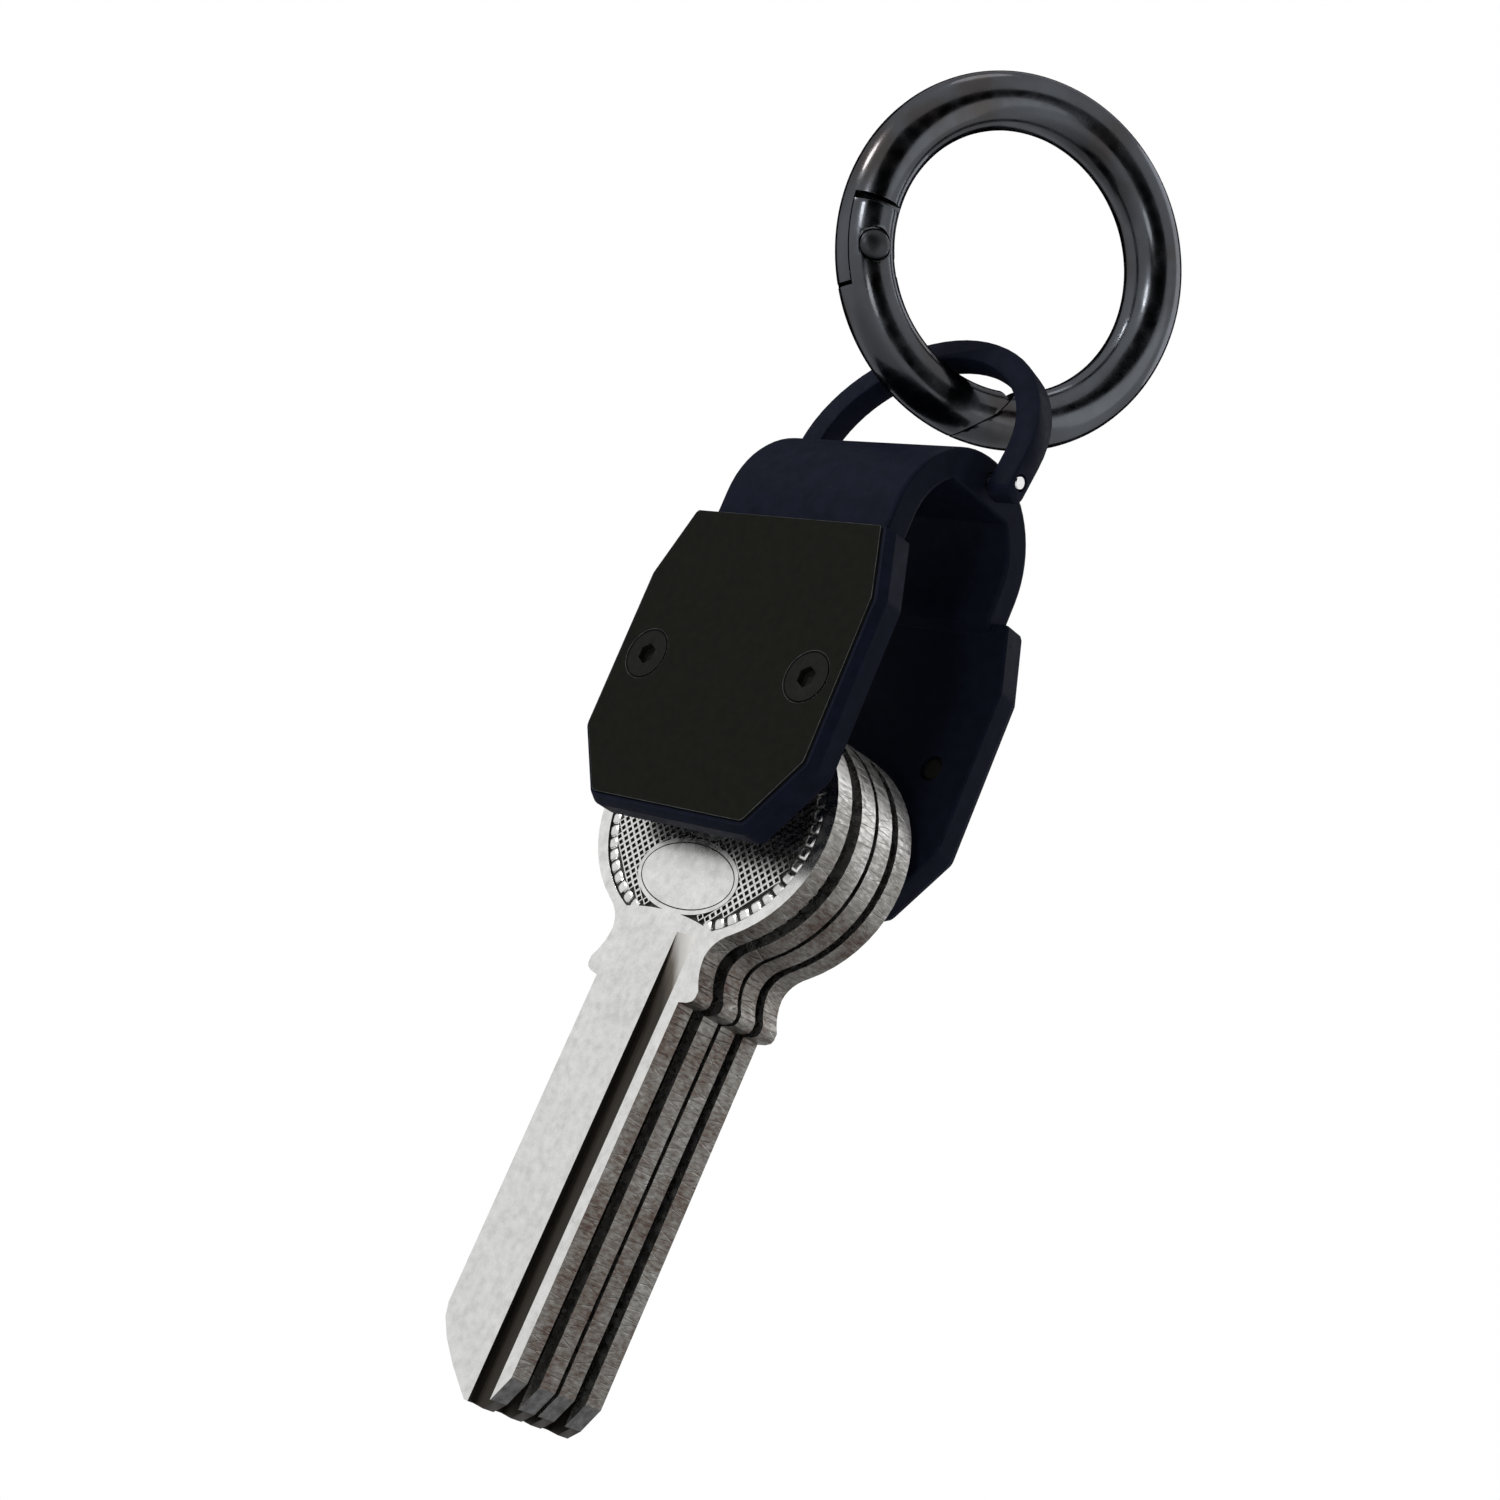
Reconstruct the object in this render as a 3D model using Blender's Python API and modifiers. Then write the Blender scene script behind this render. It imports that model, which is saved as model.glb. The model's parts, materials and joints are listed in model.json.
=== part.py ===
# A key organizer: a U-shaped metal clip that carries four keys on a post between its arms.
# A shackle turns on a pin through the crown of the clip, and a spring gate ring runs through it.
#
# World frame: metres, +Z up, front face of the clip towards -Y.
# The origin is the hang point, at the inside top of the ring, and everything hangs below it.
# Clip sizes are measured from the clip's own datum: x from its middle, y (depth) from the face
# of the front plate, z (height) from the line of the plate screws.

from math import acos, asin, atan2, cos, degrees, pi, radians, sin, sqrt, tan

import bmesh
import bpy
from mathutils import Matrix, Vector

MM = 0.001

# Ring: a round wire ring with a gate in its lower front quarter
RING_BORE_RADIUS = 10.05 * MM
WIRE_RADIUS = 2.24 * MM
RING_TURN = 65.5  # degrees about Z, from across the clip towards the rear
RING_LEAN = 4.2  # degrees, to the right at the top
GATE_TAIL_ANGLE = -169.3  # degrees round the ring, 0 at the rear, -90 at the bottom
SHOULDER_ANGLE = -171.7
RIVET_ANGLE = -155.0
WEB_ANGLE = -143.0
TONGUE_END_ANGLE = -144.3
NOSE_ANGLE = -75.2
NOSE_OUTER_SLOPE = 54.0  # degrees in the plane of the ring, 0 towards the rear
NOSE_INNER_SLOPE = 66.0
NOSE_TIP_SLOPE = 125.0
NOSE_TIP_HEIGHT = 0.95 * MM  # above the bore
GATE_GAP = 0.25 * MM
TONGUE_THICKNESS = 2.4 * MM
TONGUE_EYE_RADIUS = 2.1 * MM
TONGUE_STRIP = 2.0 * MM
RIVET_RADIUS = 0.75 * MM
RIVET_HEAD_RADIUS = 1.2 * MM
RIVET_HEAD_HEIGHT = 0.5 * MM
RIVET_SEAT_DEPTH = 0.4 * MM
SPRING_BORE_RADIUS = 0.9 * MM
SPRING_BORE_DEPTH = 4.0 * MM
SPRING_WIRE_RADIUS = 0.13 * MM
SPRING_TURNS = 6

# Shackle: a flat D that leans back a little, with two ears on the pin
SHACKLE_LEAN = 8.0
SHACKLE_INSIDE_WIDTH = 18.5 * MM
SHACKLE_INSIDE_HEIGHT = 10.3 * MM
SHACKLE_STRAIGHT = 2.0 * MM
SHACKLE_BAR = 2.1 * MM
SHACKLE_TOP_BAR = 1.85 * MM
SHACKLE_THICKNESS = 2.04 * MM
SHACKLE_EAR_DROP = 1.55 * MM
SHACKLE_EDGE = 0.22 * MM
SHACKLE_SHIFT = 0.8 * MM  # how far the bar rests in front of the lowest point of the ring
PIN_RADIUS = 0.6 * MM

# Clip
CLIP_DEPTH = 17.8 * MM
BAND_WIDTH = 17.2 * MM
BAND_THICKNESS = 2.2 * MM
BAND_SETBACK = 1.2 * MM
BEND_HEIGHT = 14.1 * MM
CEILING_HEIGHT = 18.45 * MM
BAND_FOOT_HEIGHT = 11.3 * MM
BAND_EDGE = 0.25 * MM
PIN_DEPTH = 9.2 * MM
PIN_HEIGHT = 20.3 * MM

# Plates: eight-sided inlays, given by half widths and the heights they are reached at
PLATE_THICKNESS = 0.9 * MM
PLATE_TOP_HALF = 9.2 * MM
PLATE_SIDE_HALF = 11.0 * MM
PLATE_BOTTOM_HALF = 7.65 * MM
PLATE_TOP = 11.76 * MM
PLATE_SIDE_TOP = 6.4 * MM
PLATE_SIDE_BOTTOM = -6.0 * MM
PLATE_BOTTOM = -10.9 * MM
PLATE_CORNER = 0.6 * MM

# Paddles: the eight-sided ends of the clip that hold the plates in a rim
PADDLE_DEPTH = 2.66 * MM
RIM_SETBACK = 0.2 * MM
RIM_WIDTH = 0.3 * MM
PADDLE_MARGIN = 0.7 * MM
PADDLE_EDGE = 0.15 * MM
POCKET_DEPTH = 0.95 * MM
POCKET_GAP = 0.06 * MM

# Plate screws
SCREW_HALF_SPACING = 8.14 * MM
SCREW_HEAD_RADIUS = 1.87 * MM
SCREW_SHANK_RADIUS = 0.95 * MM
SCREW_LENGTH = 2.5 * MM
SCREW_HEAD_GAP = 0.12 * MM
SCREW_RECESS = 0.03 * MM
SOCKET_ACROSS_FLATS = 1.4 * MM
SOCKET_DEPTH = 0.55 * MM

# Key post
POST_HEIGHT = -6.0 * MM
POST_RADIUS = 2.5 * MM
POST_FLANGE_RADIUS = 4.0 * MM
POST_FLANGE = 0.7 * MM
POST_BORE_RADIUS = 1.5 * MM
POST_BORE_DEPTH = 8.0 * MM
SLOT_WIDTH = 0.8 * MM
SLOT_DEPTH = 0.35 * MM
WASHER_RADIUS = 4.5 * MM

# Keys: uncut blanks, measured from the post with the blade pointing down
KEY_THICKNESS = 1.6 * MM
KEY_SPACES = (1.2 * MM, 0.4 * MM, 0.7 * MM)
KEY_STACK_DEPTH = 4.95 * MM
KEY_LEANS = (1.9, 1.9, 1.9, 1.3)  # degrees about the post, front key first
KEY_HOLE_GAP = 0.3 * MM
BOW_HALF_WIDTH = 11.3 * MM
BOW_HALF_HEIGHT = 9.5 * MM
BOW_DROP = 3.6 * MM
BOW_LEAVE_ANGLE = 55.0  # degrees below the horizontal, where the bow runs into the neck
NECK_FILLET = (0.17 * MM, 1.25 * MM)
NECK_HALF_WIDTH = 4.88 * MM
NECK_HEIGHT = -13.4 * MM
SHOULDER_HALF_WIDTH = 5.72 * MM
SHOULDER_HEIGHT = -15.8 * MM
SHOULDER_LENGTH = 0.5 * MM
BLADE_HALF_WIDTH = 4.38 * MM
BLADE_TOP = -16.95 * MM
BLADE_TIP = -47.0 * MM
TIP_LEFT_TOP = -41.8 * MM
TIP_LEFT_CORNER = -43.6 * MM
TIP_RIGHT_TOP = -44.3 * MM
TIP_RIGHT_CORNER = -46.7 * MM
TIP_FLAT_LEFT = 1.0 * MM
TIP_FLAT_RIGHT = 2.5 * MM
GROOVE_LEFT = 1.42 * MM
GROOVE_RIGHT = 3.35 * MM
GROOVE_DEPTH = 0.55 * MM
GROOVE_FULL_TOP = -19.0 * MM
GROOVE_TOP = -12.3 * MM

# Clearances
RUNNING_GAP = 0.1 * MM
SEAT_GAP = 0.05 * MM
BAR_GAP = 0.3 * MM  # under the middle of the bar; its arch comes closer to the wire beside it
PASS = 1.0 * MM

ARC_STEPS = 8

# Frames: local x and y span the outline, local z is its thickness
FRONT_VIEW = Matrix.Rotation(pi / 2, 4, "X")
SIDE_VIEW = Matrix.Rotation(pi / 2, 4, "Z") @ Matrix.Rotation(pi / 2, 4, "X")
ring_turned = Matrix.Rotation(radians(RING_TURN), 4, "Z") @ FRONT_VIEW
ring_turned = ring_turned @ Matrix.Rotation(radians(RING_LEAN), 4, "X")
ring_radius = RING_BORE_RADIUS + WIRE_RADIUS
ring_centre = ring_turned @ Vector((0, -RING_BORE_RADIUS, 0))
ring_bottom = 2 * ring_centre
ring_view = Matrix.Translation(ring_centre) @ ring_turned

# The bar of the shackle rests on the inside of the ring, on the lower edge that its lean gives it
shackle_lean = Matrix.Rotation(-radians(SHACKLE_LEAN), 4, "X")
bar_lift = BAR_GAP + SHACKLE_THICKNESS / 2 * sin(radians(SHACKLE_LEAN))
bar_underside = Vector((ring_centre.x, ring_bottom.y - SHACKLE_SHIFT, ring_bottom.z + bar_lift))
pin_centre = bar_underside - shackle_lean @ Vector((0, 0, SHACKLE_INSIDE_HEIGHT))
shackle_view = Matrix.Translation(pin_centre) @ shackle_lean @ FRONT_VIEW
pin_frame = Matrix.Translation(pin_centre) @ SIDE_VIEW
clip_datum = pin_centre - Vector((0, PIN_DEPTH, PIN_HEIGHT))


def clip_point(x, depth, height):
    """World place of a point given from the clip's datum."""
    return clip_datum + Vector((x, depth, height))


def polar(radius, angle):
    """A point at an angle in degrees round the origin."""
    return (radius * cos(radians(angle)), radius * sin(radians(angle)))


def arc(centre, radius, start, end, steps=ARC_STEPS):
    """Points along an arc, angles in degrees, both ends included."""
    points = []
    for step in range(steps + 1):
        x, y = polar(radius, start + (end - start) * step / steps)
        points.append((centre[0] + x, centre[1] + y))
    return points


def bezier(start, control, end, steps=ARC_STEPS):
    """Points along a curve that leaves start and reaches end towards one control point."""
    points = []
    for step in range(1, steps + 1):
        t = step / steps
        weights = ((1 - t) ** 2, 2 * t * (1 - t), t * t)
        points.append(tuple(sum(w * p[axis] for w, p in zip(weights, (start, control, end)))
                            for axis in (0, 1)))
    return points


def collection(name):
    """A new collection in the scene."""
    made = bpy.data.collections.new(name)
    bpy.context.scene.collection.children.link(made)
    return made


def material(name, colour, roughness, metallic):
    """A plain finish."""
    made = bpy.data.materials.new(name)
    made.use_nodes = True
    shader = made.node_tree.nodes["Principled BSDF"]
    shader.inputs["Base Color"].default_value = (*colour, 1.0)
    shader.inputs["Roughness"].default_value = roughness
    shader.inputs["Metallic"].default_value = metallic
    return made


def add(name, mesh, matrix, group):
    """Puts a mesh in the scene, or an empty when there is no mesh."""
    made = bpy.data.objects.new(name, mesh)
    made.matrix_world = matrix
    group.objects.link(made)
    return made


def carry(name, matrix, pieces):
    """Parents pieces to an empty on the axis they move about."""
    pivot = add(name + " pivot", None, matrix, parts)
    bpy.context.view_layer.update()
    for piece in pieces:
        piece.parent = pivot
        piece.matrix_parent_inverse = matrix.inverted()
    return pivot


def finish(made, look, smooth_angle=30.0):
    """Gives a finished sub-part its material and its shading."""
    made.data.materials.clear()
    made.data.materials.append(look)
    made.data.shade_smooth()
    made.data.set_sharp_from_angle(angle=radians(smooth_angle))
    return made


def extruded(name, outlines, thickness, matrix, group):
    """A flat outline, with any holes, thickened evenly on both sides of its plane."""
    curve = bpy.data.curves.new(name, "CURVE")
    curve.dimensions = "2D"
    curve.fill_mode = "BOTH"
    curve.extrude = thickness / 2
    for outline in outlines:
        spline = curve.splines.new("POLY")
        spline.points.add(len(outline) - 1)
        for point, (x, y) in zip(spline.points, outline):
            point.co = (x, y, 0, 1)
        spline.use_cyclic_u = True
    drawn = add(name, curve, matrix, group)
    bpy.context.view_layer.update()
    evaluated = drawn.evaluated_get(bpy.context.evaluated_depsgraph_get())
    mesh = bpy.data.meshes.new_from_object(evaluated)
    bpy.data.objects.remove(drawn)
    bpy.data.curves.remove(curve)
    work = bmesh.new()
    work.from_mesh(mesh)
    bmesh.ops.remove_doubles(work, verts=work.verts, dist=0.001 * MM)
    bmesh.ops.dissolve_limit(work, angle_limit=radians(0.5), verts=work.verts, edges=work.edges)
    work.to_mesh(mesh)
    work.free()
    return add(name, mesh, matrix, group)


def cylinder(name, radius, depth, matrix, group, sides=40):
    """A cylinder or, with few sides, a prism along local z, centred."""
    mesh = bpy.data.meshes.new(name)
    work = bmesh.new()
    bmesh.ops.create_cone(work, cap_ends=True, segments=sides, radius1=radius, radius2=radius,
                          depth=depth)
    work.to_mesh(mesh)
    work.free()
    return add(name, mesh, matrix, group)


def box(name, size, matrix, group):
    """A box centred on its matrix."""
    mesh = bpy.data.meshes.new(name)
    work = bmesh.new()
    bmesh.ops.create_cube(work, size=1.0)
    bmesh.ops.scale(work, vec=size, verts=work.verts)
    work.to_mesh(mesh)
    work.free()
    return add(name, mesh, matrix, group)


def turned(name, profile, matrix, group, steps=40):
    """A profile of (radius, height) points, top to bottom, turned about local z."""
    mesh = bpy.data.meshes.new(name)
    points = [(radius, 0, height) for radius, height in profile]
    edges = [(i, i + 1) for i in range(len(points) - 1)]
    mesh.from_pydata(points, edges, [])
    made = add(name, mesh, matrix, group)
    screw = made.modifiers.new("turn", "SCREW")
    screw.steps = steps
    screw.render_steps = steps
    screw.use_merge_vertices = True
    screw.merge_threshold = 0.001 * MM
    screw.use_smooth_shade = True
    return made


def as_cutter(made):
    """Moves a solid among the cutters, which aren't part of the object."""
    for group in list(made.users_collection):
        group.objects.unlink(made)
    cutters.objects.link(made)
    made.hide_render = True
    made.display_type = "WIRE"
    return made


def combine(target, tool, operation):
    """Cuts, joins or intersects one solid with another."""
    as_cutter(tool)
    boolean = target.modifiers.new(operation.lower() + " " + tool.name, "BOOLEAN")
    boolean.operation = operation
    boolean.object = tool
    return target


def round_edges(made, width, segments=2, angle=50.0):
    """Rounds every edge sharper than an angle."""
    bevel = made.modifiers.new("edges", "BEVEL")
    bevel.width = width
    bevel.segments = segments
    bevel.limit_method = "ANGLE"
    bevel.angle_limit = radians(angle)
    return made


def moved_outline(corners, moves):
    """Shifts each side of an anticlockwise outline outwards by its own distance."""
    shifted = []
    for index in range(len(corners)):
        lines = []
        for side in (index - 1, index):
            start = Vector(corners[side])
            along = (Vector(corners[(side + 1) % len(corners)]) - start).normalized()
            outwards = Vector((along.y, -along.x))
            lines.append((start + moves[side] * outwards, along))
        (first, along_first), (second, along_second) = lines
        cross = along_first.x * along_second.y - along_first.y * along_second.x
        gap = second - first
        distance = (gap.x * along_second.y - gap.y * along_second.x) / cross
        shifted.append(tuple(first + distance * along_first))
    return shifted


def rounded_outline(corners, radii, steps=4):
    """Rounds each corner of a convex anticlockwise outline with its own radius."""
    points = []
    for index, radius in enumerate(radii):
        corner = Vector(corners[index])
        before = (Vector(corners[index - 1]) - corner).normalized()
        after = (Vector(corners[(index + 1) % len(corners)]) - corner).normalized()
        half = acos(max(-1.0, min(1.0, before.dot(after)))) / 2
        centre = corner + (before + after).normalized() * (radius / sin(half))
        first = corner + before * (radius / tan(half)) - centre
        last = corner + after * (radius / tan(half)) - centre
        start = atan2(first.y, first.x)
        sweep = (atan2(last.y, last.x) - start + pi) % (2 * pi) - pi
        points += arc(centre, radius, degrees(start), degrees(start + sweep), steps)
    return points


def plate_outline(margin, top_margin=0.0):
    """The eight-sided outline of a plate in front view, grown by a margin below its top."""
    right = [(PLATE_BOTTOM_HALF, PLATE_BOTTOM), (PLATE_SIDE_HALF, PLATE_SIDE_BOTTOM),
             (PLATE_SIDE_HALF, PLATE_SIDE_TOP), (PLATE_TOP_HALF, PLATE_TOP)]
    corners = right + [(-x, z) for x, z in reversed(right)]
    moves = [margin, margin, margin, top_margin, margin, margin, margin, margin]
    radius = PLATE_CORNER + margin
    small = PLATE_CORNER / 3
    radii = [radius, radius, radius, small, small, radius, radius, radius]
    return rounded_outline(moved_outline(corners, moves), radii)


def facing(side):
    """Front view frame at the face of the front (side -1) or rear (side +1) plate.

    Local x runs across, local y up, and local z out of the clip's face.
    """
    depth = 0.0 if side < 0 else CLIP_DEPTH
    turn = Matrix.Identity(4) if side < 0 else Matrix.Rotation(pi, 4, "Z")
    return Matrix.Translation(clip_point(0, depth, 0)) @ turn @ FRONT_VIEW


def make_paddle(name, side):
    """An eight-sided end of the clip: a face, drawn back and widened into its side walls."""
    levels = [(-RIM_SETBACK, RIM_WIDTH), (-POCKET_DEPTH, PADDLE_MARGIN),
              (-PADDLE_DEPTH + PADDLE_EDGE, PADDLE_MARGIN),
              (-PADDLE_DEPTH, PADDLE_MARGIN - PADDLE_EDGE)]
    mesh = bpy.data.meshes.new(name)
    work = bmesh.new()
    level, margin = levels[0]
    rim = [work.verts.new((x, y, level)) for x, y in plate_outline(margin)]
    face = work.faces.new(rim)
    for level, margin in levels[1:]:
        grown = bmesh.ops.extrude_face_region(work, geom=[face])["geom"]
        if level == levels[1][0]:
            front = face
        else:
            work.faces.remove(face)
        face = next(item for item in grown if isinstance(item, bmesh.types.BMFace))
        outline = plate_outline(margin)
        start = min(range(len(outline)),
                    key=lambda i: (Vector(outline[i]) - face.verts[0].co.xy).length)
        for offset, vert in enumerate(face.verts):
            x, y = outline[(start + offset) % len(outline)]
            vert.co = (x, y, level)
    front.normal_flip()
    bmesh.ops.recalc_face_normals(work, faces=work.faces)
    work.to_mesh(mesh)
    work.free()
    return add(name, mesh, facing(side), parts)


def make_clip():
    """The U-shaped clip: a bent band with a thick crown, ending in two paddles."""
    outer = CLIP_DEPTH / 2 - BAND_SETBACK
    inner = outer - BAND_THICKNESS
    middle = CLIP_DEPTH / 2
    rise = degrees(asin((CEILING_HEIGHT - BEND_HEIGHT) / inner))
    toe = BAND_FOOT_HEIGHT - BAND_THICKNESS / 3
    root = PADDLE_DEPTH - PADDLE_EDGE - SEAT_GAP
    centre = (middle, BEND_HEIGHT)
    side = [(BAND_SETBACK, toe), (root, toe), (middle - inner, BAND_FOOT_HEIGHT)]
    side += arc(centre, inner, 180, 180 - rise)
    side += arc(centre, inner, rise, 0)
    side += [(middle + inner, BAND_FOOT_HEIGHT), (CLIP_DEPTH - root, toe),
             (CLIP_DEPTH - BAND_SETBACK, toe)]
    side += arc(centre, outer, 0, 180, 4 * ARC_STEPS)
    clip = extruded("u_frame", [side], BAND_WIDTH, Matrix.Translation(clip_datum) @ SIDE_VIEW,
                    parts)
    round_edges(clip, BAND_EDGE)
    for side, place in ((-1, "front"), (1, "rear")):
        combine(clip, make_paddle(place + " paddle", side), "UNION")
    for side, place in ((-1, "front"), (1, "rear")):
        view = facing(side)
        outline = plate_outline(POCKET_GAP, top_margin=PASS)
        lift = Matrix.Translation((0, 0, PASS / 2 - POCKET_DEPTH / 2))
        pocket = extruded(place + " pocket", [outline], POCKET_DEPTH + PASS, view @ lift, parts)
        combine(clip, pocket, "DIFFERENCE")
        for across, hand in ((-SCREW_HALF_SPACING, "left"), (SCREW_HALF_SPACING, "right")):
            at = view @ Matrix.Translation((across, 0, -PADDLE_DEPTH))
            hole = cylinder(place + " thread " + hand, SCREW_SHANK_RADIUS + SEAT_GAP,
                            2 * PADDLE_DEPTH, at, parts, 24)
            combine(clip, hole, "DIFFERENCE")
        sunk = POCKET_DEPTH + SEAT_GAP + POST_FLANGE
        at = view @ Matrix.Translation((0, POST_HEIGHT, -sunk / 2))
        seat = cylinder(place + " post seat", POST_FLANGE_RADIUS + RUNNING_GAP, sunk, at, parts)
        combine(clip, seat, "DIFFERENCE")
    at = Matrix.Translation(clip_point(0, middle, POST_HEIGHT)) @ FRONT_VIEW
    hole = cylinder("post hole", POST_RADIUS + SEAT_GAP, CLIP_DEPTH, at, parts)
    combine(clip, hole, "DIFFERENCE")
    width = BAND_WIDTH + PASS
    hole = cylinder("crown hole", PIN_RADIUS + RUNNING_GAP, width, pin_frame, parts, 24)
    combine(clip, hole, "DIFFERENCE")
    return finish(clip, navy_metal)


def make_plate(name, side):
    """An inlay plate with two countersunk screw holes."""
    view = facing(side)
    lift = Matrix.Translation((0, 0, -PLATE_THICKNESS / 2))
    plate = extruded(name, [plate_outline(0.0)], PLATE_THICKNESS, view @ lift, parts)
    head = SCREW_HEAD_RADIUS + SCREW_HEAD_GAP
    shank = SCREW_SHANK_RADIUS + SCREW_HEAD_GAP
    profile = [(0, PASS), (head, PASS), (head, -SCREW_RECESS), (shank, -SCREW_RECESS - head + shank),
               (shank, -PLATE_THICKNESS - PASS), (0, -PLATE_THICKNESS - PASS)]
    for across, hand in ((-SCREW_HALF_SPACING, "left"), (SCREW_HALF_SPACING, "right")):
        at = view @ Matrix.Translation((across, 0, 0))
        combine(plate, turned(name + " countersink " + hand, profile, at, parts, 32), "DIFFERENCE")
    return finish(plate, plate_black)


def make_plate_screw(name, side, across):
    """A countersunk screw with a hexagon socket."""
    cone = SCREW_HEAD_RADIUS - SCREW_SHANK_RADIUS
    top = -SCREW_RECESS
    tip = SCREW_SHANK_RADIUS / 4
    profile = [(0, top), (SCREW_HEAD_RADIUS, top), (SCREW_SHANK_RADIUS, top - cone),
               (SCREW_SHANK_RADIUS, tip - SCREW_LENGTH),
               (SCREW_SHANK_RADIUS - tip, -SCREW_LENGTH), (0, -SCREW_LENGTH)]
    at = facing(side) @ Matrix.Translation((across, 0, 0))
    screw = turned(name, profile, at, parts, 32)
    radius = SOCKET_ACROSS_FLATS / 2 / cos(pi / 6)
    socket = cylinder(name + " socket", radius, 2 * SOCKET_DEPTH,
                      at @ Matrix.Translation((0, 0, top)), parts, 6)
    combine(screw, socket, "DIFFERENCE")
    return finish(screw, screw_black)


def make_post():
    """The sleeve that the keys turn on, with its flange under the front plate."""
    view = facing(-1) @ Matrix.Translation((0, POST_HEIGHT, -POCKET_DEPTH))
    end = -(CLIP_DEPTH - 2 * POCKET_DEPTH - POST_FLANGE - 2 * SEAT_GAP)
    profile = [(0, 0), (POST_FLANGE_RADIUS, 0), (POST_FLANGE_RADIUS, -POST_FLANGE),
               (POST_RADIUS, -POST_FLANGE), (POST_RADIUS, end), (POST_BORE_RADIUS, end),
               (POST_BORE_RADIUS, end + POST_BORE_DEPTH), (0, end + POST_BORE_DEPTH)]
    post = turned("key_post", profile, view, parts)
    slot = box("post slot", (3 * POST_FLANGE_RADIUS, SLOT_WIDTH, 2 * SLOT_DEPTH), view, parts)
    combine(post, slot, "DIFFERENCE")
    return finish(post, steel)


def make_post_screw():
    """The screw that closes the post from under the rear plate."""
    view = facing(1) @ Matrix.Translation((0, POST_HEIGHT, -POCKET_DEPTH))
    length = POST_FLANGE + POST_BORE_DEPTH - 2 * POST_BORE_RADIUS
    shank = POST_BORE_RADIUS - SEAT_GAP
    profile = [(0, 0), (POST_FLANGE_RADIUS, 0), (POST_FLANGE_RADIUS, -POST_FLANGE),
               (shank, -POST_FLANGE), (shank, -length), (0, -length)]
    screw = turned("key_post_screw", profile, view, parts)
    slot = box("post screw slot", (3 * POST_FLANGE_RADIUS, SLOT_WIDTH, 2 * SLOT_DEPTH), view, parts)
    combine(screw, slot, "DIFFERENCE")
    return finish(screw, steel)


def key_depths():
    """Depth of each key's front face."""
    depths = [KEY_STACK_DEPTH]
    for space in KEY_SPACES:
        depths.append(depths[-1] + KEY_THICKNESS + space)
    return depths


def make_washers():
    """Washers that fill the post before, between and behind the keys."""
    made = []
    stops = [PADDLE_DEPTH]
    for depth in key_depths():
        stops += [depth, depth + KEY_THICKNESS]
    stops.append(CLIP_DEPTH - PADDLE_DEPTH)
    names = ["front_spacer", "key_washer_1_2", "key_washer_2_3", "key_washer_3_4", "rear_spacer"]
    ring = [arc((0, 0), WASHER_RADIUS, 0, 360, 40)[:-1],
            arc((0, 0), POST_RADIUS + SEAT_GAP, 0, 360, 40)[:-1]]
    for name, near, far in zip(names, stops[0::2], stops[1::2]):
        at = Matrix.Translation(clip_point(0, (near + far) / 2, POST_HEIGHT)) @ FRONT_VIEW
        washer = extruded(name, ring, far - near - 2 * SEAT_GAP, at, parts)
        made.append(finish(washer, steel))
    return made


def key_outline():
    """The outline of a key blank: an oval bow, a neck, a shoulder and a blade."""
    bow = []
    for step in range(6 * ARC_STEPS + 1):
        angle = -BOW_LEAVE_ANGLE + (180 + 2 * BOW_LEAVE_ANGLE) * step / (6 * ARC_STEPS)
        x, y = polar(1.0, angle)
        bow.append((BOW_HALF_WIDTH * x, BOW_HALF_HEIGHT * y - BOW_DROP))
    neck_top = (NECK_HALF_WIDTH + NECK_FILLET[0], NECK_HEIGHT + NECK_FILLET[1])
    waist = (NECK_HALF_WIDTH, NECK_HEIGHT)
    neck_foot = (NECK_HALF_WIDTH, (NECK_HEIGHT + SHOULDER_HEIGHT) / 2)
    shoulder = (SHOULDER_HALF_WIDTH, SHOULDER_HEIGHT)
    foot = (SHOULDER_HALF_WIDTH, SHOULDER_HEIGHT - SHOULDER_LENGTH)
    under = (SHOULDER_HALF_WIDTH, SHOULDER_HEIGHT - 2 * SHOULDER_LENGTH)
    side = bezier(bow[0], neck_top, waist, 6) + bezier(waist, neck_foot, shoulder, 4)
    side += [foot] + bezier(foot, under, (BLADE_HALF_WIDTH, BLADE_TOP), 3)
    left_top = (-BLADE_HALF_WIDTH, TIP_LEFT_TOP)
    tip = [left_top] + bezier(left_top, (-BLADE_HALF_WIDTH, TIP_LEFT_CORNER),
                              (TIP_FLAT_LEFT, BLADE_TIP), 4)
    right_foot = (TIP_FLAT_RIGHT, BLADE_TIP)
    tip += [right_foot] + bezier(right_foot, (GROOVE_RIGHT, TIP_RIGHT_CORNER),
                                 (BLADE_HALF_WIDTH, TIP_RIGHT_TOP), 2)
    return bow + [(-x, y) for x, y in side] + tip + side[::-1]


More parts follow.
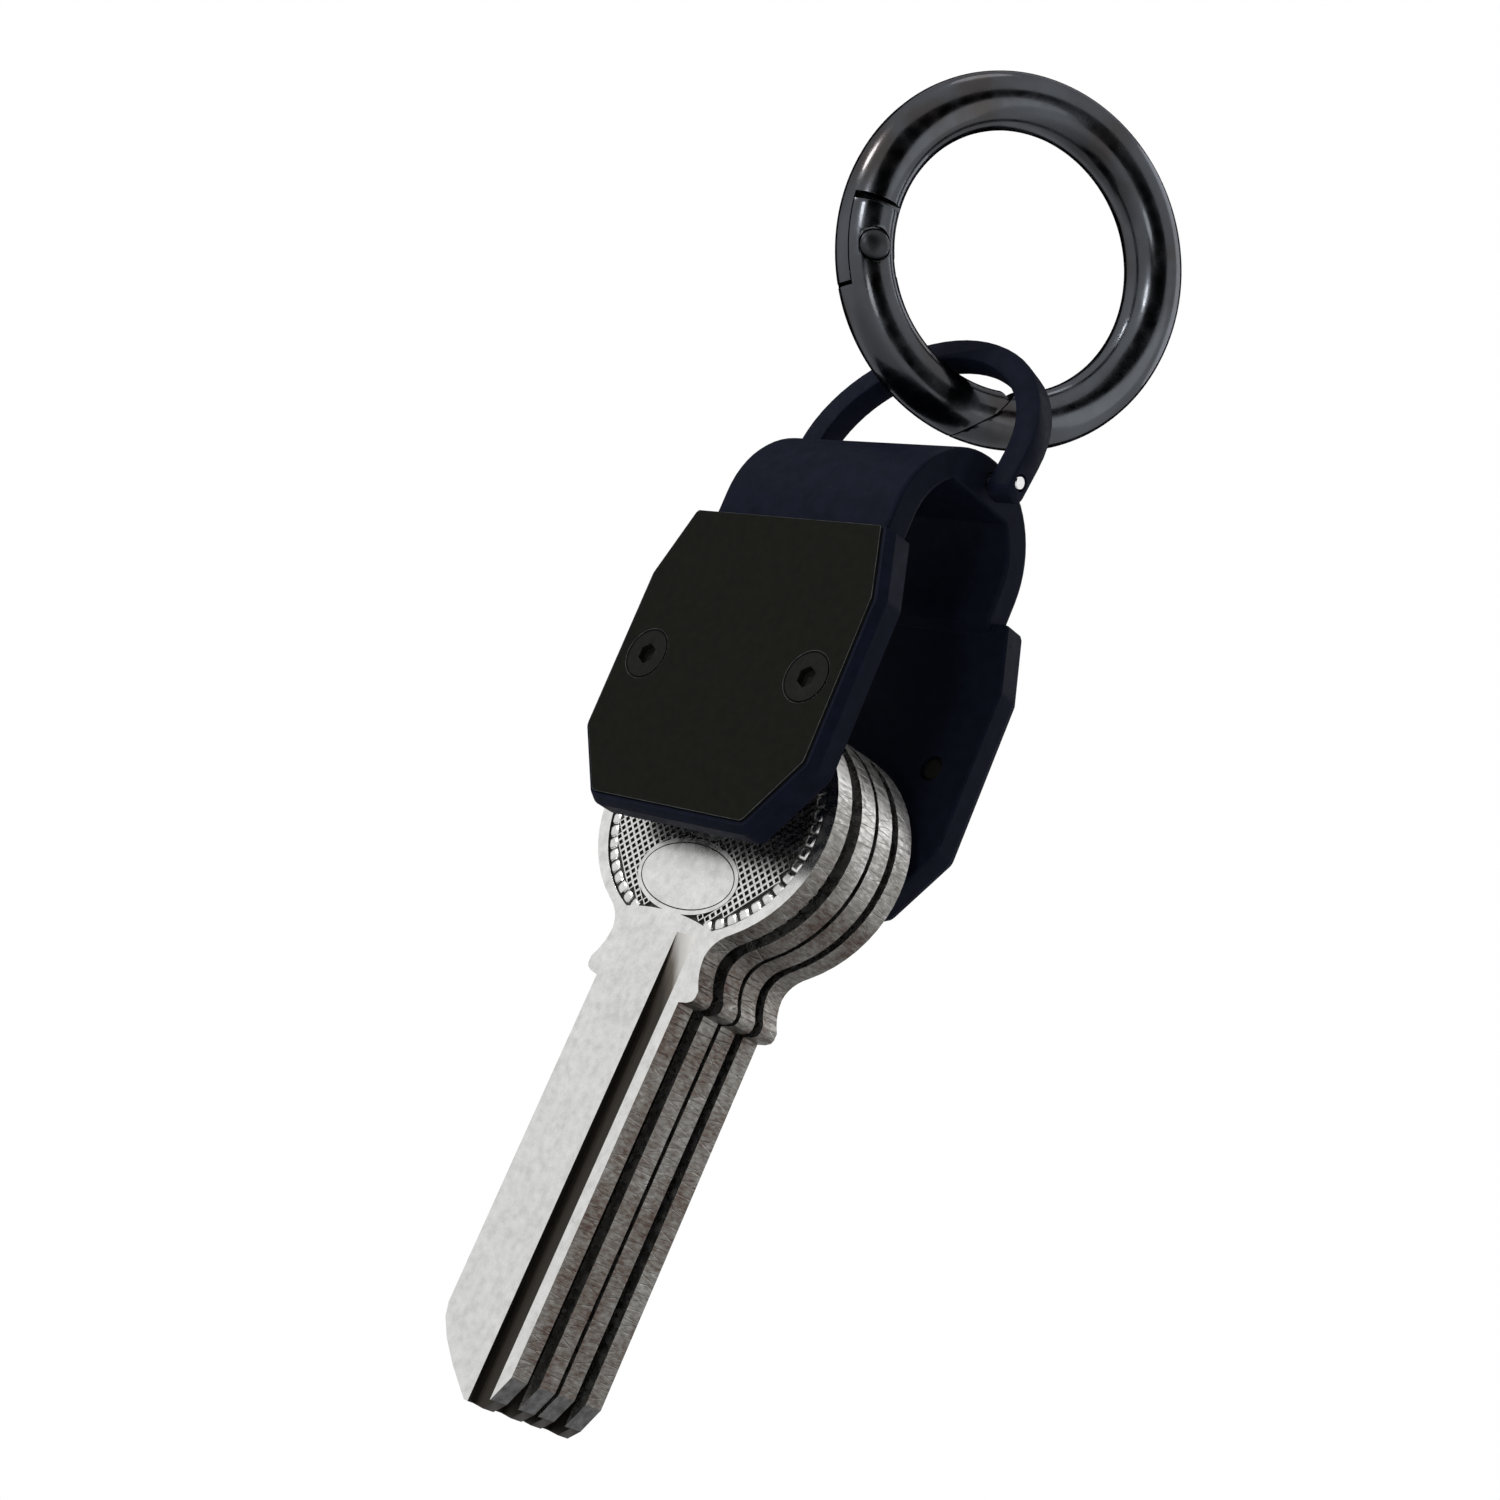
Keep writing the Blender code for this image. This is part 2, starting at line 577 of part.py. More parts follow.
def make_key(name, depth, lean):
    """A key blank, turned about the post by its own lean."""
    middle = clip_point(0, depth + KEY_THICKNESS / 2, POST_HEIGHT)
    view = Matrix.Translation(middle) @ Matrix.Rotation(radians(lean), 4, "Y") @ FRONT_VIEW
    hole = arc((0, 0), POST_RADIUS + KEY_HOLE_GAP, 0, 360, 40)[:-1]
    key = extruded(name, [key_outline(), hole], KEY_THICKNESS, view, parts)
    front = KEY_THICKNESS / 2
    run = [(front + PASS, BLADE_TIP - PASS), (front - GROOVE_DEPTH, BLADE_TIP - PASS),
           (front - GROOVE_DEPTH, GROOVE_FULL_TOP), (front, GROOVE_TOP), (front + PASS, GROOVE_TOP)]
    across = Matrix.Rotation(pi / 2, 4, "Y")
    shift = Matrix.Translation(((GROOVE_LEFT + GROOVE_RIGHT) / 2, 0, 0))
    groove = extruded(name + " groove", [[(-z, y) for z, y in run]], GROOVE_RIGHT - GROOVE_LEFT,
                      view @ shift @ across, parts)
    combine(key, groove, "DIFFERENCE")
    return finish(key, nickel)


def make_shackle():
    """The D-shaped shackle: a flat bar bent round, with an ear on each side of the crown."""
    def loop(half, top):
        arch = []
        for step in range(4 * ARC_STEPS + 1):
            angle = pi * step / (4 * ARC_STEPS)
            arch.append((half * cos(angle),
                         SHACKLE_STRAIGHT + (top - SHACKLE_STRAIGHT) * sin(angle)))
        return arch
    inside = SHACKLE_INSIDE_WIDTH / 2
    outline = [(inside + SHACKLE_BAR, -SHACKLE_EAR_DROP)]
    outline += loop(inside + SHACKLE_BAR, SHACKLE_INSIDE_HEIGHT + SHACKLE_TOP_BAR)
    outline += [(-inside - SHACKLE_BAR, -SHACKLE_EAR_DROP), (-inside, -SHACKLE_EAR_DROP)]
    outline += loop(inside, SHACKLE_INSIDE_HEIGHT)[::-1]
    outline += [(inside, -SHACKLE_EAR_DROP)]
    shackle = extruded("shackle", [outline], SHACKLE_THICKNESS, shackle_view, parts)
    work = bmesh.new()
    work.from_mesh(shackle.data)
    ends = [edge for edge in work.edges
            if all(abs(vert.co.y + SHACKLE_EAR_DROP) < 0.01 * MM for vert in edge.verts)
            and abs(edge.verts[0].co.z - edge.verts[1].co.z) < 0.01 * MM]
    bmesh.ops.bevel(work, geom=ends, offset=SHACKLE_THICKNESS * 0.42, segments=5, profile=0.5,
                    affect="EDGES")
    work.to_mesh(shackle.data)
    work.free()
    round_edges(shackle, SHACKLE_EDGE, 2)
    width = SHACKLE_INSIDE_WIDTH + 2 * SHACKLE_BAR
    hole = cylinder("ear hole", PIN_RADIUS + SEAT_GAP, width + PASS, pin_frame, parts, 24)
    combine(shackle, hole, "DIFFERENCE")
    return finish(shackle, navy_metal)


def make_pin():
    """The steel pin through the crown, flush with the ears of the shackle."""
    half = SHACKLE_INSIDE_WIDTH / 2 + SHACKLE_BAR - SEAT_GAP
    round_off = PIN_RADIUS / 4
    profile = [(0, half), (PIN_RADIUS - round_off, half), (PIN_RADIUS, half - round_off),
               (PIN_RADIUS, round_off - half), (PIN_RADIUS - round_off, -half), (0, -half)]
    return finish(turned("shackle_pin", profile, pin_frame, parts, 24), bright_steel)


def sector(start, end, steps):
    """A slice of the ring's plane, wider than the wire, between two angles."""
    low = RING_BORE_RADIUS - PASS
    high = RING_BORE_RADIUS + 2 * WIRE_RADIUS + PASS
    return arc((0, 0), high, start, end, steps) + arc((0, 0), low, end, start, steps)


def reach(start, slope, radius):
    """Where a line from a point at a slope in degrees meets a circle round the ring's centre."""
    start = Vector(start)
    way = Vector(polar(1.0, slope))
    middle = start.dot(way)
    beyond = start.length_squared - radius ** 2
    root = sqrt(middle ** 2 - beyond)
    return tuple(start + (-middle + (root if beyond < 0 else -root)) * way)


def angle_of(point):
    """The angle of a point round the ring, in degrees."""
    return degrees(atan2(point[1], point[0]))


def gate_outline(tail, gap=0.0, trimmed=False):
    """The ring's plane from the gate's tail to its nose, whose tip can be trimmed at the bore."""
    low = RING_BORE_RADIUS - PASS
    high = RING_BORE_RADIUS + 2 * WIRE_RADIUS + PASS
    corner = Vector(polar(ring_radius, NOSE_ANGLE)) + Vector(polar(gap, NOSE_OUTER_SLOPE + 90))
    outer = reach(corner, NOSE_OUTER_SLOPE + 180, high)
    nose = [tuple(corner)]
    if trimmed:
        nose.append(reach(corner, NOSE_INNER_SLOPE, RING_BORE_RADIUS + NOSE_TIP_HEIGHT))
        inner = reach(nose[-1], NOSE_TIP_SLOPE, low)
    else:
        inner = reach(corner, NOSE_INNER_SLOPE, low)
    return (arc((0, 0), high, tail, angle_of(outer), 12) + nose
            + arc((0, 0), low, angle_of(inner), tail, 12))


def torus(name):
    """The whole wire ring."""
    bpy.ops.mesh.primitive_torus_add(major_segments=72, minor_segments=16,
                                     major_radius=ring_radius, minor_radius=WIRE_RADIUS)
    made = bpy.context.object
    for group in list(made.users_collection):
        group.objects.unlink(made)
    parts.objects.link(made)
    made.name = name
    made.data.name = name
    made.matrix_world = ring_view
    return made


def make_ring():
    """The ring body: a C of round wire with a hinge tongue and a sloped landing for the gate."""
    body = torus("ring_body")
    thick = 2 * WIRE_RADIUS + 2 * PASS
    space = extruded("gate space", [gate_outline(SHOULDER_ANGLE)], thick, ring_view, parts)
    tongue = extruded("tongue root", [sector(SHOULDER_ANGLE - 3, RIVET_ANGLE, 4)],
                      TONGUE_THICKNESS, ring_view, parts)
    eye = cylinder("tongue eye", TONGUE_EYE_RADIUS, TONGUE_THICKNESS, rivet_frame(), parts)
    high = RING_BORE_RADIUS + 2 * WIRE_RADIUS + PASS
    low = RING_BORE_RADIUS + 2 * WIRE_RADIUS - TONGUE_STRIP
    strip = extruded("tongue strip", [arc((0, 0), high, RIVET_ANGLE - 1, TONGUE_END_ANGLE, 3)
                                      + arc((0, 0), low, TONGUE_END_ANGLE, RIVET_ANGLE - 1, 3)],
                     TONGUE_THICKNESS, ring_view, parts)
    combine(space, tongue, "DIFFERENCE")
    combine(space, eye, "DIFFERENCE")
    combine(space, strip, "DIFFERENCE")
    combine(body, space, "DIFFERENCE")
    hole = cylinder("rivet hole", RIVET_RADIUS + SEAT_GAP, thick, rivet_frame(), parts, 24)
    combine(body, hole, "DIFFERENCE")
    return finish(body, gunmetal, 40)


def make_gate():
    """The gate: a fork on the rivet at its tail, and a sloped nose."""
    gate = torus("ring_gate")
    thick = 2 * WIRE_RADIUS + 2 * PASS
    outline = gate_outline(GATE_TAIL_ANGLE, GATE_GAP, trimmed=True)
    combine(gate, extruded("gate part", [outline], thick, ring_view, parts), "INTERSECT")
    fork = extruded("fork slot", [sector(GATE_TAIL_ANGLE - 4, WEB_ANGLE, 6)],
                    TONGUE_THICKNESS + 2 * RUNNING_GAP, ring_view, parts)
    combine(gate, fork, "DIFFERENCE")
    hole = cylinder("gate eye", RIVET_RADIUS + SEAT_GAP, thick, rivet_frame(), parts, 24)
    combine(gate, hole, "DIFFERENCE")
    seat_floor = WIRE_RADIUS - RIVET_SEAT_DEPTH
    for side, hand in ((-1, "far"), (1, "near")):
        lift = Matrix.Translation((0, 0, side * (seat_floor + PASS / 2)))
        seat = cylinder("rivet seat " + hand, RIVET_HEAD_RADIUS + RUNNING_GAP, PASS,
                        rivet_frame() @ lift, parts)
        combine(gate, seat, "DIFFERENCE")
    sunk = Matrix.Translation((0, 0, (SPRING_BORE_DEPTH - PASS) / 2))
    bore = cylinder("spring bore", SPRING_BORE_RADIUS, SPRING_BORE_DEPTH + PASS,
                    spring_frame() @ sunk, parts, 24)
    combine(gate, bore, "DIFFERENCE")
    return finish(gate, gunmetal, 40)


def spring_frame():
    """The mouth of the spring bore in the web of the gate, local z along the wire."""
    mouth = ring_view @ Matrix.Translation((*polar(ring_radius, WEB_ANGLE), 0))
    return mouth @ Matrix.Rotation(radians(WEB_ANGLE), 4, "Z") @ Matrix.Rotation(-pi / 2, 4, "X")


def rivet_frame():
    """The hinge of the gate in the middle of the wire, local z along the rivet."""
    return ring_view @ Matrix.Translation((*polar(ring_radius, RIVET_ANGLE), 0))


def make_rivet():
    """The hinge rivet, with a low domed head on each side."""
    half = WIRE_RADIUS - RIVET_SEAT_DEPTH + SEAT_GAP
    top = half + RIVET_HEAD_HEIGHT
    edge = half + 0.6 * RIVET_HEAD_HEIGHT
    dome = [(0, top), (0.55 * RIVET_HEAD_RADIUS, top - 0.1 * RIVET_HEAD_HEIGHT),
            (0.85 * RIVET_HEAD_RADIUS, edge + 0.15 * RIVET_HEAD_HEIGHT), (RIVET_HEAD_RADIUS, edge)]
    upper = dome + [(RIVET_HEAD_RADIUS, half), (RIVET_RADIUS, half)]
    profile = upper + [(radius, -height) for radius, height in reversed(upper)]
    return finish(turned("ring_rivet", profile, rivet_frame(), parts, 32), gunmetal)


def make_spring():
    """The gate spring: a short coil in its bore, with plain cut ends."""
    curve = bpy.data.curves.new("gate_spring", "CURVE")
    curve.dimensions = "3D"
    curve.bevel_depth = SPRING_WIRE_RADIUS
    curve.bevel_resolution = 1
    curve.use_fill_caps = True
    radius = SPRING_BORE_RADIUS - RUNNING_GAP - SPRING_WIRE_RADIUS
    first = RUNNING_GAP + SPRING_WIRE_RADIUS
    last = SPRING_BORE_DEPTH - RUNNING_GAP - SPRING_WIRE_RADIUS
    per_turn = 10
    count = SPRING_TURNS * per_turn + 1
    spline = curve.splines.new("POLY")
    spline.points.add(count - 1)
    for index, point in enumerate(spline.points):
        angle = 2 * pi * index / per_turn
        height = first + (last - first) * index / (count - 1)
        point.co = (radius * cos(angle), radius * sin(angle), height, 1)
    return finish_spring(add("gate_spring", curve, spring_frame(), parts))


def finish_spring(drawn):
    """Makes the coil a closed mesh."""
    bpy.context.view_layer.update()
    evaluated = drawn.evaluated_get(bpy.context.evaluated_depsgraph_get())
    mesh = bpy.data.meshes.new_from_object(evaluated)
    place = drawn.matrix_world.copy()
    bpy.data.objects.remove(drawn)
    work = bmesh.new()
    work.from_mesh(mesh)
    bmesh.ops.remove_doubles(work, verts=work.verts, dist=0.001 * MM)
    work.to_mesh(mesh)
    work.free()
    return finish(add("gate_spring", mesh, place, parts), bright_steel)


for old in list(bpy.data.objects):
    bpy.data.objects.remove(old)

parts = collection("key organizer")
cutters = collection("cutters")

navy_metal = material("satin navy black metal", (0.012, 0.015, 0.028), 0.42, 0.0)
plate_black = material("matte olive black plate", (0.010, 0.010, 0.008), 0.6, 0.0)
screw_black = material("black screw", (0.012, 0.012, 0.012), 0.4, 0.6)
steel = material("plain steel", (0.45, 0.45, 0.46), 0.35, 1.0)
bright_steel = material("bright steel", (0.7, 0.7, 0.7), 0.2, 1.0)
nickel = material("nickel silver", (0.68, 0.67, 0.65), 0.3, 1.0)
gunmetal = material("polished gunmetal", (0.09, 0.09, 0.095), 0.25, 1.0)

clip_pieces = [make_clip(), make_plate("front_plate", -1), make_plate("rear_plate", 1)]
for face, side in (("front", -1), ("rear", 1)):
    for hand, across in (("left", side * SCREW_HALF_SPACING), ("right", -side * SCREW_HALF_SPACING)):
        clip_pieces.append(make_plate_screw("plate_screw_" + face + "_" + hand, side, across))
clip_pieces += [make_post(), make_post_screw()] + make_washers()
carry("clip", pin_frame, clip_pieces)
for number, (depth, lean) in enumerate(zip(key_depths(), KEY_LEANS), start=1):
    key = make_key("key_" + str(number), depth, lean)
    middle = Matrix.Translation(clip_point(0, depth + KEY_THICKNESS / 2, POST_HEIGHT))
    carry("key_" + str(number), middle, [key])
carry("shackle", ring_view, [make_shackle(), make_pin()])
carry("gate", rivet_frame(), [make_gate(), make_spring()])
make_ring()
make_rivet()
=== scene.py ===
# %% [markdown]
# # A key organizer, dressed for its picture
# The CAD model already has every piece at its true size, so this script never moves or resizes
# anything. It loads that model as a fixed frame, builds finer surfaces over it, such as the
# knurled key bows and the polished ring, and gives every piece its finish.

import json
from math import atan2, ceil, cos, degrees, pi, radians, sin, sqrt

import bpy
from mathutils import Matrix, Vector

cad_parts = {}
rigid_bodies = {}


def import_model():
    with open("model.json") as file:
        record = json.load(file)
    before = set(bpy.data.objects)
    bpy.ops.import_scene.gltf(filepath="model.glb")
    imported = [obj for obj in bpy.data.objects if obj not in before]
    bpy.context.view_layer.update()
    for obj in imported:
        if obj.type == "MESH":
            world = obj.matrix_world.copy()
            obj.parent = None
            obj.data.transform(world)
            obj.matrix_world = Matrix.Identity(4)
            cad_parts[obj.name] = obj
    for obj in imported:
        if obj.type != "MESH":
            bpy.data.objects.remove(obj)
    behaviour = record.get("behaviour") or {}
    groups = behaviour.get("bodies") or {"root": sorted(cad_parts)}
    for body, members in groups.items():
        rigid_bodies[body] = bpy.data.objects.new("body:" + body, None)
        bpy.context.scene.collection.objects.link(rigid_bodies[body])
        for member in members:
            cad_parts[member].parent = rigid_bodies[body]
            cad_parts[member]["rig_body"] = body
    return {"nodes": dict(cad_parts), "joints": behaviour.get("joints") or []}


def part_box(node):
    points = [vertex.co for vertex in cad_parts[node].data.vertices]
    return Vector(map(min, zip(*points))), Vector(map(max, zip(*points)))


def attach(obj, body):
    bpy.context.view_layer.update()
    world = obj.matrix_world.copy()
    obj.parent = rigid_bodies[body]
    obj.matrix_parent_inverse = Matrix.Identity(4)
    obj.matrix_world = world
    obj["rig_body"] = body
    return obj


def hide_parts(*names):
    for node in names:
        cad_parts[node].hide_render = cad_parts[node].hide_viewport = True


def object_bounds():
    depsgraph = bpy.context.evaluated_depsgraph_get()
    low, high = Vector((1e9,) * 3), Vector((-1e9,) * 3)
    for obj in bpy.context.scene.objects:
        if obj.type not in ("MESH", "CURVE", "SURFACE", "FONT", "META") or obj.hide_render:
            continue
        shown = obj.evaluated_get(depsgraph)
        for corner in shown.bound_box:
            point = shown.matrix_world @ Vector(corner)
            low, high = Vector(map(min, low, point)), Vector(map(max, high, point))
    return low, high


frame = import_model()
cad_box = [list(corner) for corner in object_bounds()]
nodes = frame["nodes"]
joints = {joint["name"]: joint for joint in frame["joints"]}
MM = 0.001

# %% [markdown]
# ## Where things are
# Each joint of the record says where its axis is, so the ring and the key post are found from
# the joints. The origin is the hang point, at the inside top of the ring. The clip's own datum
# is the middle of the front plate's face, on the line of its two screws: a box can't show that
# line, but the post lies a known drop below it.

# %% Places read from the frame
POST_DROP = 6.0 * MM

ring_centre = Vector(joints["shackle_round_ring"]["pos_m"])
ring_axis = Vector(joints["gate_hinge"]["axis"])
post_place = Vector(joints["key_1_swing"]["pos_m"])
datum = Vector((post_place.x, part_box("front_plate")[0].y, post_place.z + POST_DROP))
middle = (Vector(cad_box[0]) + Vector(cad_box[1])) / 2
print("the clip's datum is at", [round(value / MM, 2) for value in datum], "mm")

# %% [markdown]
# ## The camera
# The photograph was taken from the right and a little below, with a long lens held at a tilt.
# Its place was worked out from the corners of the plate and the two screws. The picture is
# square, so the lens and the sensor width alone set what fits in it.

# %% Camera
CAMERA_PLACE = (127.076 * MM, -115.741 * MM, -42.461 * MM)  # from the clip's datum
CAMERA_TURN = (103.324, -22.246, 41.202)  # degrees about X, Y and Z
LENS = 60.344
SENSOR = 36.0
NEAREST_SEEN = 0.01

bpy.ops.object.camera_add(location=datum + Vector(CAMERA_PLACE),
                          rotation=[radians(angle) for angle in CAMERA_TURN])
camera = bpy.context.object
camera.name = "camera"
camera.data.lens = LENS
camera.data.sensor_width = SENSOR
camera.data.clip_start = NEAREST_SEEN
bpy.context.scene.camera = camera
bpy.context.scene.view_settings.view_transform = "Standard"
print("the camera is", round((camera.location - datum).length / MM), "mm from the clip")

# %% [markdown]
# ## White surroundings
# The background is pure white. A world that is bright for everything would wash the shadows
# out, so it is white only for what the camera sees and for what metal mirrors, and a soft grey
# for the light that falls on the object. A Light Path node tells these rays apart.

# %% World
AMBIENT = 0.33
WHITE = (1.0, 1.0, 1.0, 1.0)


def seen_by(tree, *kinds):
    """1 for rays of these kinds and 0 for all others."""
    path = tree.nodes.new("ShaderNodeLightPath")
    total = path.outputs[kinds[0]]
    for kind in kinds[1:]:
        either = tree.nodes.new("ShaderNodeMath")
        either.operation = "ADD"
        either.use_clamp = True
        tree.links.new(total, either.inputs[0])
        tree.links.new(path.outputs[kind], either.inputs[1])
        total = either.outputs["Value"]
    return total


world = bpy.data.worlds.new("white surroundings")
bpy.context.scene.world = world
world.use_nodes = True
tree = world.node_tree
ambient = tree.nodes["Background"]
ambient.inputs["Color"].default_value = WHITE
ambient.inputs["Strength"].default_value = AMBIENT
white = tree.nodes.new("ShaderNodeBackground")
white.inputs["Color"].default_value = WHITE
choice = tree.nodes.new("ShaderNodeMixShader")
tree.links.new(seen_by(tree, "Is Camera Ray", "Is Glossy Ray", "Is Transmission Ray"),
               choice.inputs["Fac"])
tree.links.new(ambient.outputs["Background"], choice.inputs[1])
tree.links.new(white.outputs["Background"], choice.inputs[2])
tree.links.new(choice.outputs["Shader"], tree.nodes["World Output"].inputs["Surface"])
print("world made, ambient strength", AMBIENT)

# %% [markdown]
# ## Studio lamps
# The key light, high on the left, does most of the work and puts the streak beside the ring's
# slot. The fill light on the right shows the edges of the keys, and the back light draws the
# outlines. The front and top lights add soft bands to the ring's wire, and the small ring light
# beside the camera puts one along its middle. Each lamp is a round area light that is turned to
# face the middle of the object. The flat key faces need no lamp of their own, because they
# mirror the white surroundings.

# %% Lamps
LAMPS = {  # place in metres from the middle of the object, diameter in metres, watts
    "key light": ((-0.30, -0.53, 0.33), 0.16, 1.6),
    "front light": ((0.17, -0.6, 0.065), 0.12, 0.7),
    "top light": ((-0.12, -0.08, 0.62), 0.2, 0.25),
    "ring light": ((0.18, -0.18, -0.04), 0.06, 0.05),
    "fill light": ((0.55, 0.22, 0.0), 0.55, 0.5),
    "back light": ((0.1, 0.55, 0.42), 0.6, 1.8),
}

for name, (place, size, power) in LAMPS.items():
    bpy.ops.object.light_add(type="AREA", location=middle + Vector(place))
    lamp = bpy.context.object
    lamp.name = name
    lamp.data.shape = "DISK"
    lamp.data.size = size
    lamp.data.energy = power
    lamp.rotation_euler = (-Vector(place)).to_track_quat("-Z", "Y").to_euler()
print("lamps:", len(LAMPS))

# %% [markdown]
# ## A plain finish
# Every finish in this file is a Principled shader. The helper makes the plain start of one: a
# colour, a roughness, and for a metal a metallic value of 1. The grain comes later.

# %% Plain finish
def finish(name, colour, roughness, metallic=0.0, specular=0.5):
    """A plain finish. Later steps add its grain."""
    made = bpy.data.materials.new(name)
    made.use_nodes = True
    shader = made.node_tree.nodes["Principled BSDF"]
    shader.inputs["Base Color"].default_value = (*colour, 1.0)
    shader.inputs["Roughness"].default_value = roughness
    shader.inputs["Metallic"].default_value = metallic
    shader.inputs["Specular IOR Level"].default_value = specular
    return made


felt = finish("black felt", (0.01, 0.01, 0.01), 0.95, specular=0.0)
print("first finish made:", felt.name)

# %% [markdown]
# ## Black flags
# Polished metal in an all white room looks like grey plastic, because it has nothing dark to
# mirror, and light from behind creeps through the narrow gaps between the keys. Photographers
# hang black cards, called flags, just out of the picture. One stands on the right, behind the
# camera, and one stands behind the object, where the camera is made to look through it.

# %% Flags
FLAGS = {  # place in metres from the middle of the object, width in metres
    "front_flag": ((0.26, -0.17, 0.07), 0.36),
    "rear_flag": ((-0.26, 0.24, 0.08), 0.66),
}

for name, (place, size) in FLAGS.items():
    bpy.ops.mesh.primitive_plane_add(size=size, location=middle + Vector(place))
    flag = bpy.context.object
    flag.name = name
    flag.rotation_euler = (-Vector(place)).to_track_quat("Z", "Y").to_euler()
    flag.visible_camera = False
    flag.data.materials.append(felt)
print("flags:", len(FLAGS))

# %% [markdown]
# ## The floor
# The clip hangs in the air, so the floor only catches a soft shadow. It is a large disc of
# studio paper, and further out it fades into the white background.

# %% Floor
FLOOR_DROP = 0.06
FLOOR_RADIUS = 0.7

bpy.ops.mesh.primitive_circle_add(vertices=96, radius=FLOOR_RADIUS, fill_type="NGON",
                                  location=(middle.x, middle.y, cad_box[0][2] - FLOOR_DROP))
floor = bpy.context.object
floor.name = "floor"
print("floor at", round(floor.location.z / MM), "mm")

# %% [markdown]
# ## Grain and tint
# What varies over a surface, such as grain or stains, comes from noise on Object coordinates,
# which here are metres in the clip's frame. The noise scale is therefore large: 2000 gives
# spots of about half a millimetre. A Map Range node stretches such a pattern between two
# values, and a colour ramp turns it into shades.

# %% Pattern helpers
def on_surface(made, stretch):
    """Object coordinates, scaled along each axis."""
    tree = made.node_tree
    place = tree.nodes.new("ShaderNodeTexCoord")
    mapping = tree.nodes.new("ShaderNodeMapping")
    mapping.inputs["Scale"].default_value = stretch
    tree.links.new(place.outputs["Object"], mapping.inputs["Vector"])
    return mapping.outputs["Vector"]


def grain(made, scale, detail=3.0, stretch=(1.0, 1.0, 1.0)):
    """Noise over the surface. A stretch below 1 draws it out along that axis."""
    tree = made.node_tree
    noise = tree.nodes.new("ShaderNodeTexNoise")
    noise.inputs["Scale"].default_value = scale
    noise.inputs["Detail"].default_value = detail
    tree.links.new(on_surface(made, stretch), noise.inputs["Vector"])
    return noise.outputs["Fac"]


def ranged(made, pattern, start, end, low=0.0, high=1.0, clamp=True):
    """Runs from low to high while a pattern runs from start to end."""
    tree = made.node_tree
    span = tree.nodes.new("ShaderNodeMapRange")
    span.clamp = clamp
    span.inputs["From Min"].default_value = start
    span.inputs["From Max"].default_value = end
    span.inputs["To Min"].default_value = low
    span.inputs["To Max"].default_value = high
    tree.links.new(pattern, span.inputs["Value"])
    return span.outputs["Result"]


def tinted(made, pattern, stops):
    """Colours the finish by a pattern, through stops of (position, colour)."""
    tree = made.node_tree
    ramp = tree.nodes.new("ShaderNodeValToRGB")
    while len(ramp.color_ramp.elements) < len(stops):
        ramp.color_ramp.elements.new(0.5)
    for element, (position, colour) in zip(ramp.color_ramp.elements, stops):
        element.position = position
        element.color = (*colour, 1.0)
    tree.links.new(pattern, ramp.inputs["Fac"])
    tree.links.new(ramp.outputs["Color"],
                   tree.nodes["Principled BSDF"].inputs["Base Color"])
    return made


print("pattern helpers ready")

# %% [markdown]
# ## Finish: floor paper
# A pale sheet of studio paper: almost white, without gloss, with the faintest unevenness. The
# distance from its middle mixes it with plain white, for what the camera sees and what metal
# mirrors. The object's shadow falls inside the part that isn't faded.

# %% Floor paper
FADE_START = 0.10
FADE_END = 0.24

paper = finish("studio paper", (0.86, 0.86, 0.86), 0.9, specular=0.1)
tinted(paper, grain(paper, 12.0), [(0.3, (0.85, 0.85, 0.85)), (0.7, (0.88, 0.88, 0.88))])
tree = paper.node_tree
place = tree.nodes.new("ShaderNodeTexCoord")
distance = tree.nodes.new("ShaderNodeVectorMath")
distance.operation = "LENGTH"
tree.links.new(place.outputs["Object"], distance.inputs[0])
fade = ranged(paper, distance.outputs["Value"], FADE_START, FADE_END)
fade.node.interpolation_type = "SMOOTHSTEP"
share = tree.nodes.new("ShaderNodeMath")
share.operation = "MULTIPLY"
tree.links.new(seen_by(tree, "Is Camera Ray", "Is Glossy Ray"), share.inputs[0])
tree.links.new(fade, share.inputs[1])
plain_white = tree.nodes.new("ShaderNodeEmission")
choice = tree.nodes.new("ShaderNodeMixShader")
tree.links.new(share.outputs["Value"], choice.inputs["Fac"])
tree.links.new(tree.nodes["Principled BSDF"].outputs["BSDF"], choice.inputs[1])
tree.links.new(plain_white.outputs["Emission"], choice.inputs[2])
tree.links.new(choice.outputs["Shader"], tree.nodes["Material Output"].inputs["Surface"])
floor.data.materials.append(paper)
print("floor paper done")

# %% [markdown]
# ## Gloss and bump
# Noise runs mostly between 0.3 and 0.7, so that span is mapped to a lowest and a highest
# roughness. A bump leaves the mesh alone and only tilts its normals. A second bump is laid over
# the first one, by feeding it the normal that the first one made.

# %% Gloss and bump helpers
NOISE_LOW = 0.3
NOISE_HIGH = 0.7


def glossed(made, pattern, low, high):
    """Varies the roughness by a pattern."""
    made.node_tree.links.new(ranged(made, pattern, NOISE_LOW, NOISE_HIGH, low, high),
                             made.node_tree.nodes["Principled BSDF"].inputs["Roughness"])
    return made


def bumped(made, pattern, height):
    """Raises the surface by a pattern, by a height in metres."""
    tree = made.node_tree
    shader = tree.nodes["Principled BSDF"]
    bump = tree.nodes.new("ShaderNodeBump")
    bump.inputs["Strength"].default_value = 1.0
    bump.inputs["Distance"].default_value = height
    tree.links.new(pattern, bump.inputs["Height"])
    if shader.inputs["Normal"].is_linked:
        tree.links.new(shader.inputs["Normal"].links[0].from_socket, bump.inputs["Normal"])
    tree.links.new(bump.outputs["Normal"], shader.inputs["Normal"])
    return made


print("gloss and bump helpers ready")

